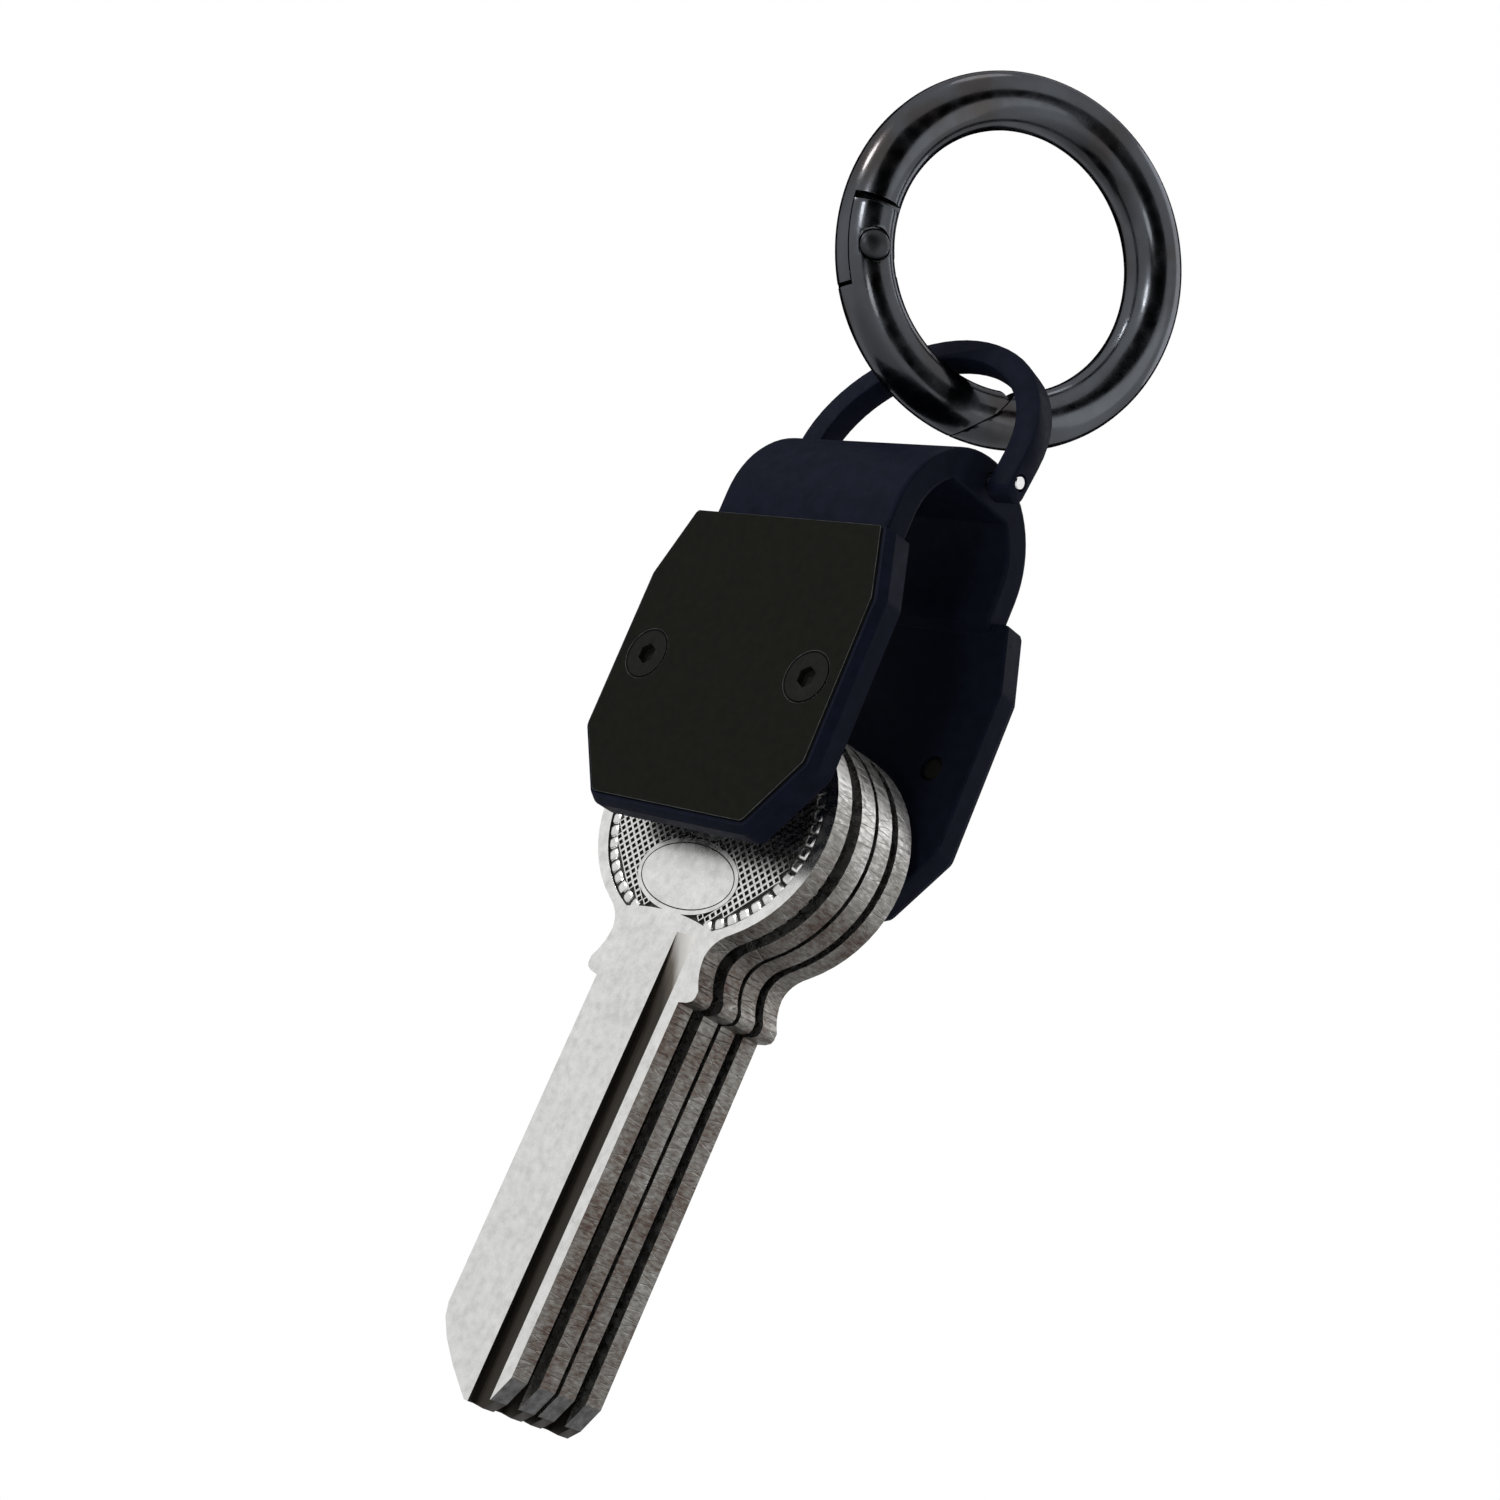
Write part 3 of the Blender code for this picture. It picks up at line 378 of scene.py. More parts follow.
# %% [markdown]
# ## Finish: satin navy black
# The clip and its shackle are cast and then coated in a satin black that looks navy where light
# grazes it. The coat reflects little, so its specular level is low. A very fine bump breaks up
# the reflection the way a sprayed coat does. The clip's edges get a paler finish: a painted
# highlight.

# %% Satin navy black
satin = finish("satin navy black", (0.0075, 0.009, 0.018), 0.45, specular=0.015)
tinted(satin, grain(satin, 900.0),
       [(0.35, (0.0062, 0.0076, 0.0150)), (0.7, (0.0084, 0.0102, 0.0205))])
glossed(satin, grain(satin, 2500.0), 0.4, 0.52)
bumped(satin, grain(satin, 9000.0), 0.004 * MM)
satin_edge_painted_highlight = finish("satin edge painted highlight", (0.024, 0.031, 0.037), 0.4, specular=0.05)
tinted(satin_edge_painted_highlight, grain(satin_edge_painted_highlight, 1400.0),
       [(0.3, (0.013, 0.018, 0.025)), (0.7, (0.042, 0.054, 0.060))])
print("satin navy black done")

# %% [markdown]
# ## Finish: matte olive black
# The inlay plates are darker in gloss and warmer in colour than the clip. Their face is matte,
# with a grain so fine that it only shows close up.

# %% Matte olive black
matte = finish("matte olive black", (0.011, 0.011, 0.009), 0.6, specular=0.01)
tinted(matte, grain(matte, 1500.0),
       [(0.3, (0.0098, 0.0099, 0.0082)), (0.7, (0.0122, 0.0123, 0.0102))])
bumped(matte, grain(matte, 14000.0), 0.003 * MM)
# The paler edge finish is a painted highlight: the thin line of light along the plates' rounded
# edges.
plate_edge_painted_highlight = finish("plate edge painted highlight", (0.060, 0.072, 0.072), 0.45, specular=0.1)
tinted(plate_edge_painted_highlight, grain(plate_edge_painted_highlight, 1400.0),
       [(0.3, (0.045, 0.058, 0.060)), (0.7, (0.13, 0.15, 0.15))])
print("matte olive black done")

# %% [markdown]
# ## Finish: screw black
# The screws have the plate's colour, but they are turned steel, so they are smoother and show a
# little more of the light.

# %% Screw black
screw_black = finish("screw black", (0.0075, 0.0075, 0.0068), 0.42, specular=0.04)
tinted(screw_black, grain(screw_black, 3000.0),
       [(0.3, (0.0065, 0.0065, 0.0058)), (0.7, (0.0105, 0.0105, 0.0095))])
glossed(screw_black, grain(screw_black, 4000.0), 0.34, 0.5)
bumped(screw_black, grain(screw_black, 9000.0), 0.003 * MM)
print("screw black done")

# %% [markdown]
# ## Finish: polished gunmetal
# The ring is plated a dark polished grey. It is a metal, so its colour is the colour of what it
# mirrors, darkened. Fine noise in its roughness keeps the mirror image from being clean, and a
# cloudy warm tint gives the faint brown patches. A thin clear coat adds the sharp streaks, and
# a grey specular tint holds the rim back from going white. The rivet is duller. The rounded edges
# of the ring, the gate and the rivet get a paler finish, partly plating rubbed through and partly
# a painted highlight.

# %% Polished gunmetal
gunmetal = finish("polished gunmetal", (0.042, 0.045, 0.051), 0.25, metallic=1.0)
gunmetal_shader = gunmetal.node_tree.nodes["Principled BSDF"]
gunmetal_shader.inputs["Coat Weight"].default_value = 0.3
gunmetal_shader.inputs["Coat Roughness"].default_value = 0.05
gunmetal_shader.inputs["Specular Tint"].default_value = (0.35, 0.35, 0.37, 1.0)
tinted(gunmetal, grain(gunmetal, 130.0, detail=4.0),
       [(0.36, (0.041, 0.037, 0.037)), (0.46, (0.050, 0.054, 0.061)),
        (0.7, (0.070, 0.076, 0.086))])
glossed(gunmetal, grain(gunmetal, 900.0, detail=5.0), 0.16, 0.30)
bumped(gunmetal, grain(gunmetal, 3500.0, detail=4.0), 0.003 * MM)
rivet_dark = finish("rivet gunmetal", (0.036, 0.037, 0.041), 0.36, metallic=1.0)
glossed(rivet_dark, grain(rivet_dark, 1500.0), 0.32, 0.46)
bumped(rivet_dark, grain(rivet_dark, 3000.0), 0.004 * MM)
gunmetal_edge_wear_and_highlight = finish("gunmetal edge wear and painted highlight", (0.3, 0.305, 0.31), 0.3, metallic=1.0)
tinted(gunmetal_edge_wear_and_highlight, grain(gunmetal_edge_wear_and_highlight, 700.0),
       [(0.42, (0.07, 0.074, 0.08)), (0.6, (0.42, 0.425, 0.43))])
print("polished gunmetal done")

# %% [markdown]
# ## Finish: bright and plain steel
# The pin is bright drawn steel. The post, its screw, the washers and the spring are plain steel
# that nobody polishes, with fine turning marks.

# %% Steels
bright_steel = finish("bright steel", (0.74, 0.74, 0.74), 0.16, metallic=1.0)
glossed(bright_steel, grain(bright_steel, 3000.0), 0.12, 0.24)
plain_steel = finish("plain steel", (0.42, 0.42, 0.43), 0.35, metallic=1.0)
glossed(plain_steel, grain(plain_steel, 2500.0), 0.28, 0.45)
bumped(plain_steel, grain(plain_steel, 6000.0, stretch=(1.0, 6.0, 1.0)), 0.004 * MM)
print("steels done")

# %% [markdown]
# ## Finish: nickel silver key faces
# A blank's faces are rolled and then tumbled: a light grey metal, slightly mottled, with short
# faint scratches. The scratches are noise stretched eight to one along the blade. The backs that
# lie against the next key get a duller, darker finish: painted shade for the narrow gap between
# keys.

# %% Key faces
def blended(made, first, second, share):
    """One pattern mixed with a share of another."""
    tree = made.node_tree
    mix = tree.nodes.new("ShaderNodeMix")
    mix.inputs["Factor"].default_value = share
    tree.links.new(first, mix.inputs["A"])
    tree.links.new(second, mix.inputs["B"])
    return mix.outputs["Result"]


key_face = finish("tumbled nickel silver", (0.66, 0.655, 0.64), 0.3, metallic=1.0)
mottle = blended(key_face, grain(key_face, 1600.0, detail=8.0), grain(key_face, 400.0), 0.2)
tinted(key_face, mottle,
       [(0.32, (0.54, 0.537, 0.52)), (0.5, (0.62, 0.619, 0.61)), (0.7, (0.68, 0.679, 0.67))])
glossed(key_face, grain(key_face, 1500.0), 0.21, 0.33)
bumped(key_face, grain(key_face, 2600.0, stretch=(1.0, 1.0, 0.12)), 0.004 * MM)
key_back_painted_shade = finish("nickel silver back with painted shade", (0.24, 0.23, 0.215), 0.35, metallic=1.0)
tinted(key_back_painted_shade, grain(key_back_painted_shade, 900.0, detail=6.0),
       [(0.35, (0.18, 0.172, 0.16)), (0.65, (0.30, 0.29, 0.275))])
glossed(key_back_painted_shade, grain(key_back_painted_shade, 1500.0), 0.26, 0.4)
print("key faces done")

# %% [markdown]
# ## Finish: milled key edges
# The edges are milled and never polished, so they are rougher and browner than the faces, with
# a few copper-red stains and small cracks. Noise gives the torn surface, and the borders of a
# Voronoi pattern, pulled out across the edge, give the cracks. Towards the top of the bow the edge
# is painted lighter, a painted highlight. The sheared tip is cleaner than the milled edge.

# %% Key edges
HIGHLIGHT_FADE_LENGTH = 8 * MM  # from the post down, over which the painted highlight on the edge fades


def place_along(made, axis):
    """The place along one axis, in metres."""
    tree = made.node_tree
    place = tree.nodes.new("ShaderNodeTexCoord")
    split = tree.nodes.new("ShaderNodeSeparateXYZ")
    tree.links.new(place.outputs["Object"], split.inputs["Vector"])
    return split.outputs[axis]


def cracks(made, scale, width, stretch):
    """Thin lines along the borders of a Voronoi pattern: 0 in a line, 1 beside it."""
    tree = made.node_tree
    cells = tree.nodes.new("ShaderNodeTexVoronoi")
    cells.feature = "DISTANCE_TO_EDGE"
    cells.inputs["Scale"].default_value = scale
    tree.links.new(on_surface(made, stretch), cells.inputs["Vector"])
    return ranged(made, cells.outputs["Distance"], 0.0, width)


key_edge = finish("milled key edge", (0.2, 0.18, 0.17), 0.45, metallic=0.9)
stain = blended(key_edge, grain(key_edge, 260.0, detail=2.0),
                grain(key_edge, 3200.0, detail=8.0, stretch=(1.0, 0.5, 1.3)), 0.55)
top_painted_highlight = ranged(key_edge, place_along(key_edge, "Z"), post_place.z - HIGHLIGHT_FADE_LENGTH, post_place.z)
tinted(key_edge, blended(key_edge, stain, top_painted_highlight, 0.25),
       [(0.27, (0.070, 0.046, 0.038)), (0.34, (0.110, 0.094, 0.083)),
        (0.41, (0.155, 0.148, 0.136)), (0.52, (0.25, 0.242, 0.231)), (0.68, (0.64, 0.63, 0.62))])
glossed(key_edge, grain(key_edge, 2000.0), 0.32, 0.5)
bumped(key_edge, grain(key_edge, 3000.0, detail=8.0, stretch=(1.0, 0.6, 1.2)), 0.08 * MM)
bumped(key_edge, cracks(key_edge, 1000.0, 0.05, (1.0, 0.3, 1.5)), 0.03 * MM)
key_cut = finish("sheared key tip", (0.14, 0.14, 0.14), 0.4, metallic=1.0)
tinted(key_cut, grain(key_cut, 1800.0, detail=6.0),
       [(0.35, (0.10, 0.10, 0.10)), (0.65, (0.19, 0.19, 0.192))])
glossed(key_cut, grain(key_cut, 2600.0), 0.32, 0.48)
bumped(key_cut, grain(key_cut, 4000.0, detail=6.0), 0.02 * MM)
print("key edges done")

# %% [markdown]
# ## Finish: groove and knurl floor
# The milled groove and the floor between the knurls are coloured dark as painted shade for these
# hollows. The groove starts in a ramp where its cutter came up: its colour fades from bright
# at the ramp to dark down the blade and to the left, painted shade from the groove's wall.

# %% Groove and knurl floor
GROOVE_TOP = -12.3 * MM  # this and the next from the middle of the post
GROOVE_CORNER = 2.85 * MM
RAMP_LENGTH = 13 * MM
RAMP_WIDTH = 5.5 * MM


def into_the_groove(made, top, right):
    """Runs from 0 at the groove's upper right corner, down the blade and to the left."""
    down = ranged(made, place_along(made, "Z"), top, top - RAMP_LENGTH, clamp=False)
    left = ranged(made, place_along(made, "X"), right, right - RAMP_WIDTH, clamp=False)
    total = made.node_tree.nodes.new("ShaderNodeMath")
    made.node_tree.links.new(down, total.inputs[0])
    made.node_tree.links.new(left, total.inputs[1])
    return total.outputs["Value"]


groove_floor_painted_shade = finish("groove floor", (0.05, 0.043, 0.036), 0.4, metallic=0.8)
# The slant from the ramp down the blade and to the left paints the shade of the groove's wall on
# its floor.
slope = into_the_groove(groove_floor_painted_shade, post_place.z + GROOVE_TOP, post_place.x + GROOVE_CORNER)
streaks = grain(groove_floor_painted_shade, 2500.0, stretch=(1.0, 1.0, 0.08))
tinted(groove_floor_painted_shade, blended(groove_floor_painted_shade, slope, streaks, 0.12),
       [(0.08, (0.66, 0.65, 0.63)), (0.3, (0.44, 0.43, 0.41)), (0.42, (0.10, 0.085, 0.07)),
        (0.55, (0.03, 0.025, 0.02))])
bumped(groove_floor_painted_shade, grain(groove_floor_painted_shade, 4000.0, stretch=(1.0, 1.0, 0.05)), 0.02 * MM)
groove_wall_painted_shade = finish("groove wall", (0.045, 0.038, 0.03), 0.5, metallic=0.5)
tinted(groove_wall_painted_shade, grain(groove_wall_painted_shade, 2000.0, stretch=(1.0, 1.0, 0.1)),
       [(0.3, (0.010, 0.008, 0.006)), (0.7, (0.03, 0.025, 0.019))])
# The dark knurl floor is painted shade for the field's floor, its pits and the steps round the
# ovals.
knurl_floor_painted_shade = finish("knurl floor", (0.05, 0.048, 0.045), 0.5, metallic=0.6)
tinted(knurl_floor_painted_shade, grain(knurl_floor_painted_shade, 900.0),
       [(0.3, (0.010, 0.010, 0.0095)), (0.7, (0.036, 0.035, 0.033))])
print("groove and knurl floor done")

# %% [markdown]
# ## The ring's plane
# The ring leans a little, and exact cuts dislike slanted faces that nearly meet. So the ring and
# its gate are modelled lying flat at the origin, where an angle of 0 points to the rear and -90
# to the bottom, and each finished piece is stood up in its place as the last step.

# %% Ring frame
WIRE_RADIUS = 2.24 * MM
RING_BORE_RADIUS = ring_centre.length  # the hang point at the origin touches the bore
RING_RADIUS = RING_BORE_RADIUS + WIRE_RADIUS
PASS = 1.0 * MM  # how far a cutter passes what it cuts
LOW = RING_BORE_RADIUS - PASS
HIGH = RING_BORE_RADIUS + 2 * WIRE_RADIUS + PASS

ring_rear = Vector((0, 0, 1)).cross(ring_axis).normalized()
ring_up = ring_axis.cross(ring_rear)
ring_turn = Matrix((ring_rear, ring_up, ring_axis)).transposed().to_4x4()
ring_view = Matrix.Translation(ring_centre) @ ring_turn
print("ring of", round(2 * RING_RADIUS / MM, 1), "mm across the middle of its wire")

# %% [markdown]
# ## One piece at a time
# Blender's operators act on whatever is selected, so each step first selects just the piece it
# works on. A modifier is applied as soon as it is set, so that every piece ends as plain mesh,
# and its place goes into its mesh, so that its object stays at the origin.

# %% Helpers for one piece
def only(*objects):
    """Selects these objects and nothing else."""
    bpy.ops.object.select_all(action="DESELECT")
    for item in objects:
        item.select_set(True)
    bpy.context.view_layer.objects.active = objects[0]


def shaped(piece, kind, **settings):
    """Adds a modifier and applies it."""
    modifier = piece.modifiers.new(kind.lower(), kind)
    for setting, value in settings.items():
        setattr(modifier, setting, value)
    only(piece)
    bpy.ops.object.modifier_apply(modifier=modifier.name)
    return piece


def cut(piece, tool, operation="DIFFERENCE"):
    """Cuts, joins or crosses a piece with a tool, which is then thrown away."""
    shaped(piece, "BOOLEAN", object=tool, operation=operation)
    bpy.data.objects.remove(tool)
    return piece


def settle(piece):
    """Puts a piece's place into its mesh, with its object at the origin."""
    only(piece)
    bpy.ops.object.transform_apply(location=True, rotation=True, scale=True)
    return piece


print("helpers for one piece ready")

# %% [markdown]
# ## Cutting tools
# Two shapes do all the cutting on the ring. A slab is a flat outline made thick: a filled curve
# turns into a mesh, and its double points are merged. A rod is a cylinder.

# %% Slabs and rods
WELD = 0.001 * MM


def polar(radius, angle):
    """A point at an angle in degrees round the origin."""
    return (radius * cos(radians(angle)), radius * sin(radians(angle)))


def arc(radius, start, end, steps):
    """Points along an arc round the origin, both ends included."""
    return [polar(radius, start + (end - start) * step / steps) for step in range(steps + 1)]


def slab(name, outline, thickness):
    """A flat outline made a solid of even thickness."""
    curve = bpy.data.curves.new(name, "CURVE")
    curve.dimensions = "2D"
    curve.fill_mode = "BOTH"
    curve.extrude = thickness / 2
    spline = curve.splines.new("POLY")
    spline.points.add(len(outline) - 1)
    for point, (x, y) in zip(spline.points, outline):
        point.co = (x, y, 0, 1)
    spline.use_cyclic_u = True
    piece = bpy.data.objects.new(name, curve)
    bpy.context.scene.collection.objects.link(piece)
    only(piece)
    bpy.ops.object.convert(target="MESH")
    bpy.ops.object.mode_set(mode="EDIT")
    bpy.ops.mesh.select_all(action="SELECT")
    bpy.ops.mesh.remove_doubles(threshold=WELD)
    bpy.ops.mesh.normals_make_consistent(inside=False)
    bpy.ops.object.mode_set(mode="OBJECT")
    return piece


def rod(name, radius, depth, place, sides=64):
    """An upright cylinder with its middle at a place."""
    bpy.ops.mesh.primitive_cylinder_add(vertices=sides, radius=radius, depth=depth,
                                        location=place)
    piece = bpy.context.object
    piece.name = name
    piece.data.name = name
    return settle(piece)


print("slabs and rods ready")

# %% [markdown]
# ## The gate's outline
# The gate is the piece of ring between its tail, where a fork holds the rivet, and its nose,
# which is cut in a slope so that it lands on the ring's end and can't swing outwards. The same
# outline, once with a gap and once without, cuts both pieces, so they always fit.

# %% Gate outline
GATE_TAIL_ANGLE = -169.3
NOSE_ANGLE = -75.2
NOSE_OUTER_SLOPE = 54.0
NOSE_INNER_SLOPE = 66.0
NOSE_TIP_SLOPE = 125.0
NOSE_TIP_HEIGHT = 0.95 * MM  # above the bore
GATE_GAP = 0.1 * MM
OUTLINE_STEPS = 12


def reach(start, slope, radius):
    """Where a line from a point at a slope meets a circle round the ring's centre."""
    start = Vector(start)
    way = Vector(polar(1.0, slope))
    along = start.dot(way)
    beyond = start.length_squared - radius ** 2
    root = sqrt(along ** 2 - beyond)
    return tuple(start + (-along + (root if beyond < 0 else -root)) * way)


def angle_of(point):
    """The angle of a point round the ring, in degrees."""
    return degrees(atan2(point[1], point[0]))


def gate_outline(tail, gap=0.0, trimmed=False):
    """The part of the ring's plane from the gate's tail to its nose."""
    corner = Vector(polar(RING_RADIUS, NOSE_ANGLE)) + Vector(polar(gap, NOSE_OUTER_SLOPE + 90))
    outer = reach(corner, NOSE_OUTER_SLOPE + 180, HIGH)
    nose = [tuple(corner)]
    if trimmed:
        nose.append(reach(corner, NOSE_INNER_SLOPE, RING_BORE_RADIUS + NOSE_TIP_HEIGHT))
        inner = reach(nose[-1], NOSE_TIP_SLOPE, LOW)
    else:
        inner = reach(corner, NOSE_INNER_SLOPE, LOW)
    return (arc(HIGH, tail, angle_of(outer), OUTLINE_STEPS) + nose
            + arc(LOW, angle_of(inner), tail, OUTLINE_STEPS))


print("the gate spans", round(NOSE_ANGLE - GATE_TAIL_ANGLE), "degrees")

# %% [markdown]
# ## Rounding, smoothing and showing
# No real edge is sharp, so a bevel rounds each one, and its new faces can get a finish of their
# own: a paler one that paints a thin highlight along the edge, and on the ring also wear. A finish
# has to be on the piece before that. The last helper hides the CAD node that a piece stands for,
# and ties the piece to that node's body.

# %% Helpers for a finished piece
EDGE_LOOK = 1  # the place of the edge finish in a piece's list


def finished(piece, *looks):
    """Gives a piece its finishes, the first of them on all its faces."""
    piece.data.materials.clear()
    for look in looks:
        piece.data.materials.append(look)
    for polygon in piece.data.polygons:
        polygon.material_index = 0
    return piece


def softened(piece, width, angle=40.0, look=-1):
    """Rounds the edges of a piece that are sharper than an angle, and may give them a finish."""
    return shaped(piece, "BEVEL", width=width, segments=2, limit_method="ANGLE",
                  angle_limit=radians(angle), material=look)


def smooth(piece, angle):
    """Shades a piece smooth, apart from the edges sharper than an angle."""
    only(piece)
    bpy.ops.object.shade_smooth_by_angle(angle=radians(angle))
    return piece


def stands_for(piece, node):
    """Shows a piece in place of a CAD node, on that node's body."""
    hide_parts(node)
    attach(piece, nodes[node]["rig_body"])
    print(piece.name, "stands for", node, "with", len(piece.data.polygons), "faces")
    return piece


print("helpers for a finished piece ready")

# %% [markdown]
# ## The ring body
# A torus primitive is the natural start for a round wire ring. The gate's space is cut out, but
# not the tongue in the middle of it: that stays on the ring and carries the rivet between the
# two cheeks of the gate. So the tongue is first taken out of the cutter, as a root, an eye
# round the rivet and a strip beyond it, each a few degrees longer than it shows.

# %% The whole wire
TORUS_RINGS = 180
TORUS_SIDES = 40
EDGE_ROUND = 0.07 * MM


def wire_ring(name):
    """The whole wire ring, lying flat."""
    bpy.ops.mesh.primitive_torus_add(major_segments=TORUS_RINGS, minor_segments=TORUS_SIDES,
                                     major_radius=RING_RADIUS, minor_radius=WIRE_RADIUS)
    piece = bpy.context.object
    piece.name = name
    piece.data.name = name
    return piece


def sector(start, end, low=LOW):
    """A slice of the ring's plane between two angles."""
    return arc(HIGH, start, end, 6) + arc(low, end, start, 6)


def stood_up(piece, look=gunmetal):
    """Finishes, rounds and smooths a flat ring piece, and stands it up in its place."""
    finished(piece, look, gunmetal_edge_wear_and_highlight)
    softened(piece, EDGE_ROUND, 45.0, look=EDGE_LOOK)
    smooth(piece, 40.0)
    piece.matrix_world = ring_view
    return settle(piece)


print("wire of", round(2 * WIRE_RADIUS / MM, 2), "mm")

# %% Ring body
SHOULDER_ANGLE = -171.7
RIVET_ANGLE = -155.0
TONGUE_END_ANGLE = -144.3
ROOT_OVERLAP = 3
STRIP_OVERLAP = 1
TONGUE_THICKNESS = 2.4 * MM
TONGUE_EYE_RADIUS = 2.1 * MM
TONGUE_STRIP = 2.0 * MM
RIVET_RADIUS = 0.75 * MM
RIVET_SIDES = 32
SEAT_GAP = 0.05 * MM

rivet_x, rivet_y = polar(RING_RADIUS, RIVET_ANGLE)
through = 2 * (WIRE_RADIUS + PASS)
strip_low = RING_BORE_RADIUS + 2 * WIRE_RADIUS - TONGUE_STRIP

space = slab("gate space", gate_outline(SHOULDER_ANGLE), through)
cut(space, slab("tongue root", sector(SHOULDER_ANGLE - ROOT_OVERLAP, RIVET_ANGLE),
                TONGUE_THICKNESS))
cut(space, rod("tongue eye", TONGUE_EYE_RADIUS, TONGUE_THICKNESS, (rivet_x, rivet_y, 0)))
cut(space, slab("tongue strip", sector(RIVET_ANGLE - STRIP_OVERLAP, TONGUE_END_ANGLE, strip_low),
                TONGUE_THICKNESS))
ring_wire = cut(wire_ring("ring_wire"), space)
cut(ring_wire, rod("rivet hole", RIVET_RADIUS + SEAT_GAP, through, (rivet_x, rivet_y, 0),
                   RIVET_SIDES))
stands_for(stood_up(ring_wire), "ring_body")

# %% [markdown]
# ## The gate
# The gate starts as the same torus and keeps only what lies inside its outline. A slot for the
# tongue makes its fork, and two shallow seats take the rivet's heads.

# %% Gate
WEB_ANGLE = -143.0
SLOT_OVERLAP = 4
RUNNING_GAP = 0.1 * MM
RIVET_HEAD_RADIUS = 1.2 * MM
RIVET_SEAT_DEPTH = 0.4 * MM

seat_floor = WIRE_RADIUS - RIVET_SEAT_DEPTH
gate_wire = cut(wire_ring("gate_wire"),
                slab("gate part", gate_outline(GATE_TAIL_ANGLE, GATE_GAP, trimmed=True), through),
                "INTERSECT")
cut(gate_wire, slab("fork slot", sector(GATE_TAIL_ANGLE - SLOT_OVERLAP, WEB_ANGLE),
                    TONGUE_THICKNESS + 2 * RUNNING_GAP))
cut(gate_wire, rod("gate eye", RIVET_RADIUS + SEAT_GAP, through, (rivet_x, rivet_y, 0),
                   RIVET_SIDES))
for side in (-1, 1):
    place = (rivet_x, rivet_y, side * (seat_floor + PASS / 2))
    cut(gate_wire, rod("rivet seat", RIVET_HEAD_RADIUS + RUNNING_GAP, PASS, place))
stands_for(stood_up(gate_wire), "ring_gate")

# %% [markdown]
# ## The rivet
# Both heads of the rivet are low domes that stand a little proud of the wire. Each is a sphere
# pressed flat and cut in half. A plain shank joins them through the tongue and reaches a hair
# into each dome, and the domes hover a hair over their seats, so that the gate can turn.

# %% Rivet
DOME_HEIGHT = 0.55 * MM

rivet = rod("rivet", RIVET_RADIUS, 2 * seat_floor + 4 * SEAT_GAP, (rivet_x, rivet_y, 0),
            RIVET_SIDES)
for side in (-1, 1):
    foot = side * (seat_floor + SEAT_GAP)
    bpy.ops.mesh.primitive_uv_sphere_add(segments=48, ring_count=24, radius=RIVET_HEAD_RADIUS)
    dome = bpy.context.object
    dome.location = (rivet_x, rivet_y, foot)
    dome.scale = (1, 1, DOME_HEIGHT / RIVET_HEAD_RADIUS)
    settle(dome)
    cut(dome, rod("below", 2 * RIVET_HEAD_RADIUS, PASS,
                  (rivet_x, rivet_y, foot - side * PASS / 2)))
    cut(rivet, dome, "UNION")
stands_for(stood_up(rivet, rivet_dark), "ring_rivet")

# %% [markdown]
# ## The clip, the shackle and the pin
# The castings have the right shape in the CAD model already. What they lack is the small round
# that a casting and its coat leave on every edge, and on a black object those rounds are what
# the eye sees. So the clip is a merged copy of its node with its sharp edges rolled over. The
# thin shackle and the pin are round enough, and only their shading is smoothed.

# %% Castings
MERGE = 0.002 * MM
SAME_PLANE = 0.2  # degrees between triangles of one flat face
CAST_ROUND = 0.1 * MM


def cad_copy(node, name):
    """A copy of a CAD node, with its loose triangles merged into a clean surface."""
    piece = bpy.data.objects.new(name, nodes[node].data.copy())
    bpy.context.scene.collection.objects.link(piece)
    piece.data.name = name
    piece.data.materials.clear()
    only(piece)
    if piece.data.has_custom_normals:
        bpy.ops.mesh.customdata_custom_splitnormals_clear()
    bpy.ops.object.mode_set(mode="EDIT")
    bpy.ops.mesh.select_all(action="SELECT")
    bpy.ops.mesh.remove_doubles(threshold=MERGE)
    bpy.ops.mesh.dissolve_limited(angle_limit=radians(SAME_PLANE))
    bpy.ops.object.mode_set(mode="OBJECT")
    return piece


# The clip's rounded edges get the paler edge finish, a painted highlight.
clip_strap = finished(cad_copy("u_frame", "clip_strap"), satin, satin_edge_painted_highlight)
softened(clip_strap, CAST_ROUND, 50.0, look=EDGE_LOOK)
stands_for(smooth(clip_strap, 20.0), "u_frame")

shackle_loop = finished(cad_copy("shackle", "shackle_loop"), satin)
stands_for(smooth(shackle_loop, 40.0), "shackle")

crown_pin = finished(cad_copy("shackle_pin", "crown_pin"), bright_steel)
stands_for(smooth(crown_pin, 30.0), "shackle_pin")

# %% [markdown]
# ## The plates and their screws
# The plates have a crisp edge that still catches a thin line of light, so their round is small
# and gets a paler finish that paints that line as a highlight. The screws are rounded at their
# rims and sockets too, but they stay black all over.

# %% Plates and screws
PLATE_ROUND = 0.09 * MM
SCREW_ROUND = 0.05 * MM

for node in ("front_plate", "rear_plate"):
    plate = finished(cad_copy(node, node.replace("plate", "inlay")), matte, plate_edge_painted_highlight)
    softened(plate, PLATE_ROUND, 50.0, look=EDGE_LOOK)
    stands_for(smooth(plate, 20.0), node)
for node in [name for name in sorted(nodes) if name.startswith("plate_screw")]:
    screw = finished(cad_copy(node, node.replace("plate_screw", "socket_screw")), screw_black)
    softened(screw, SCREW_ROUND, 50.0)
    stands_for(smooth(screw, 20.0), node)

# %% [markdown]
# ## One key blank
# All four keys are the same blank. It is modelled once, in its own frame, with the post at the
# origin, the blade pointing down and its front face towards -Y. The copy of the CAD node gives
# the outline, the hole and the groove.

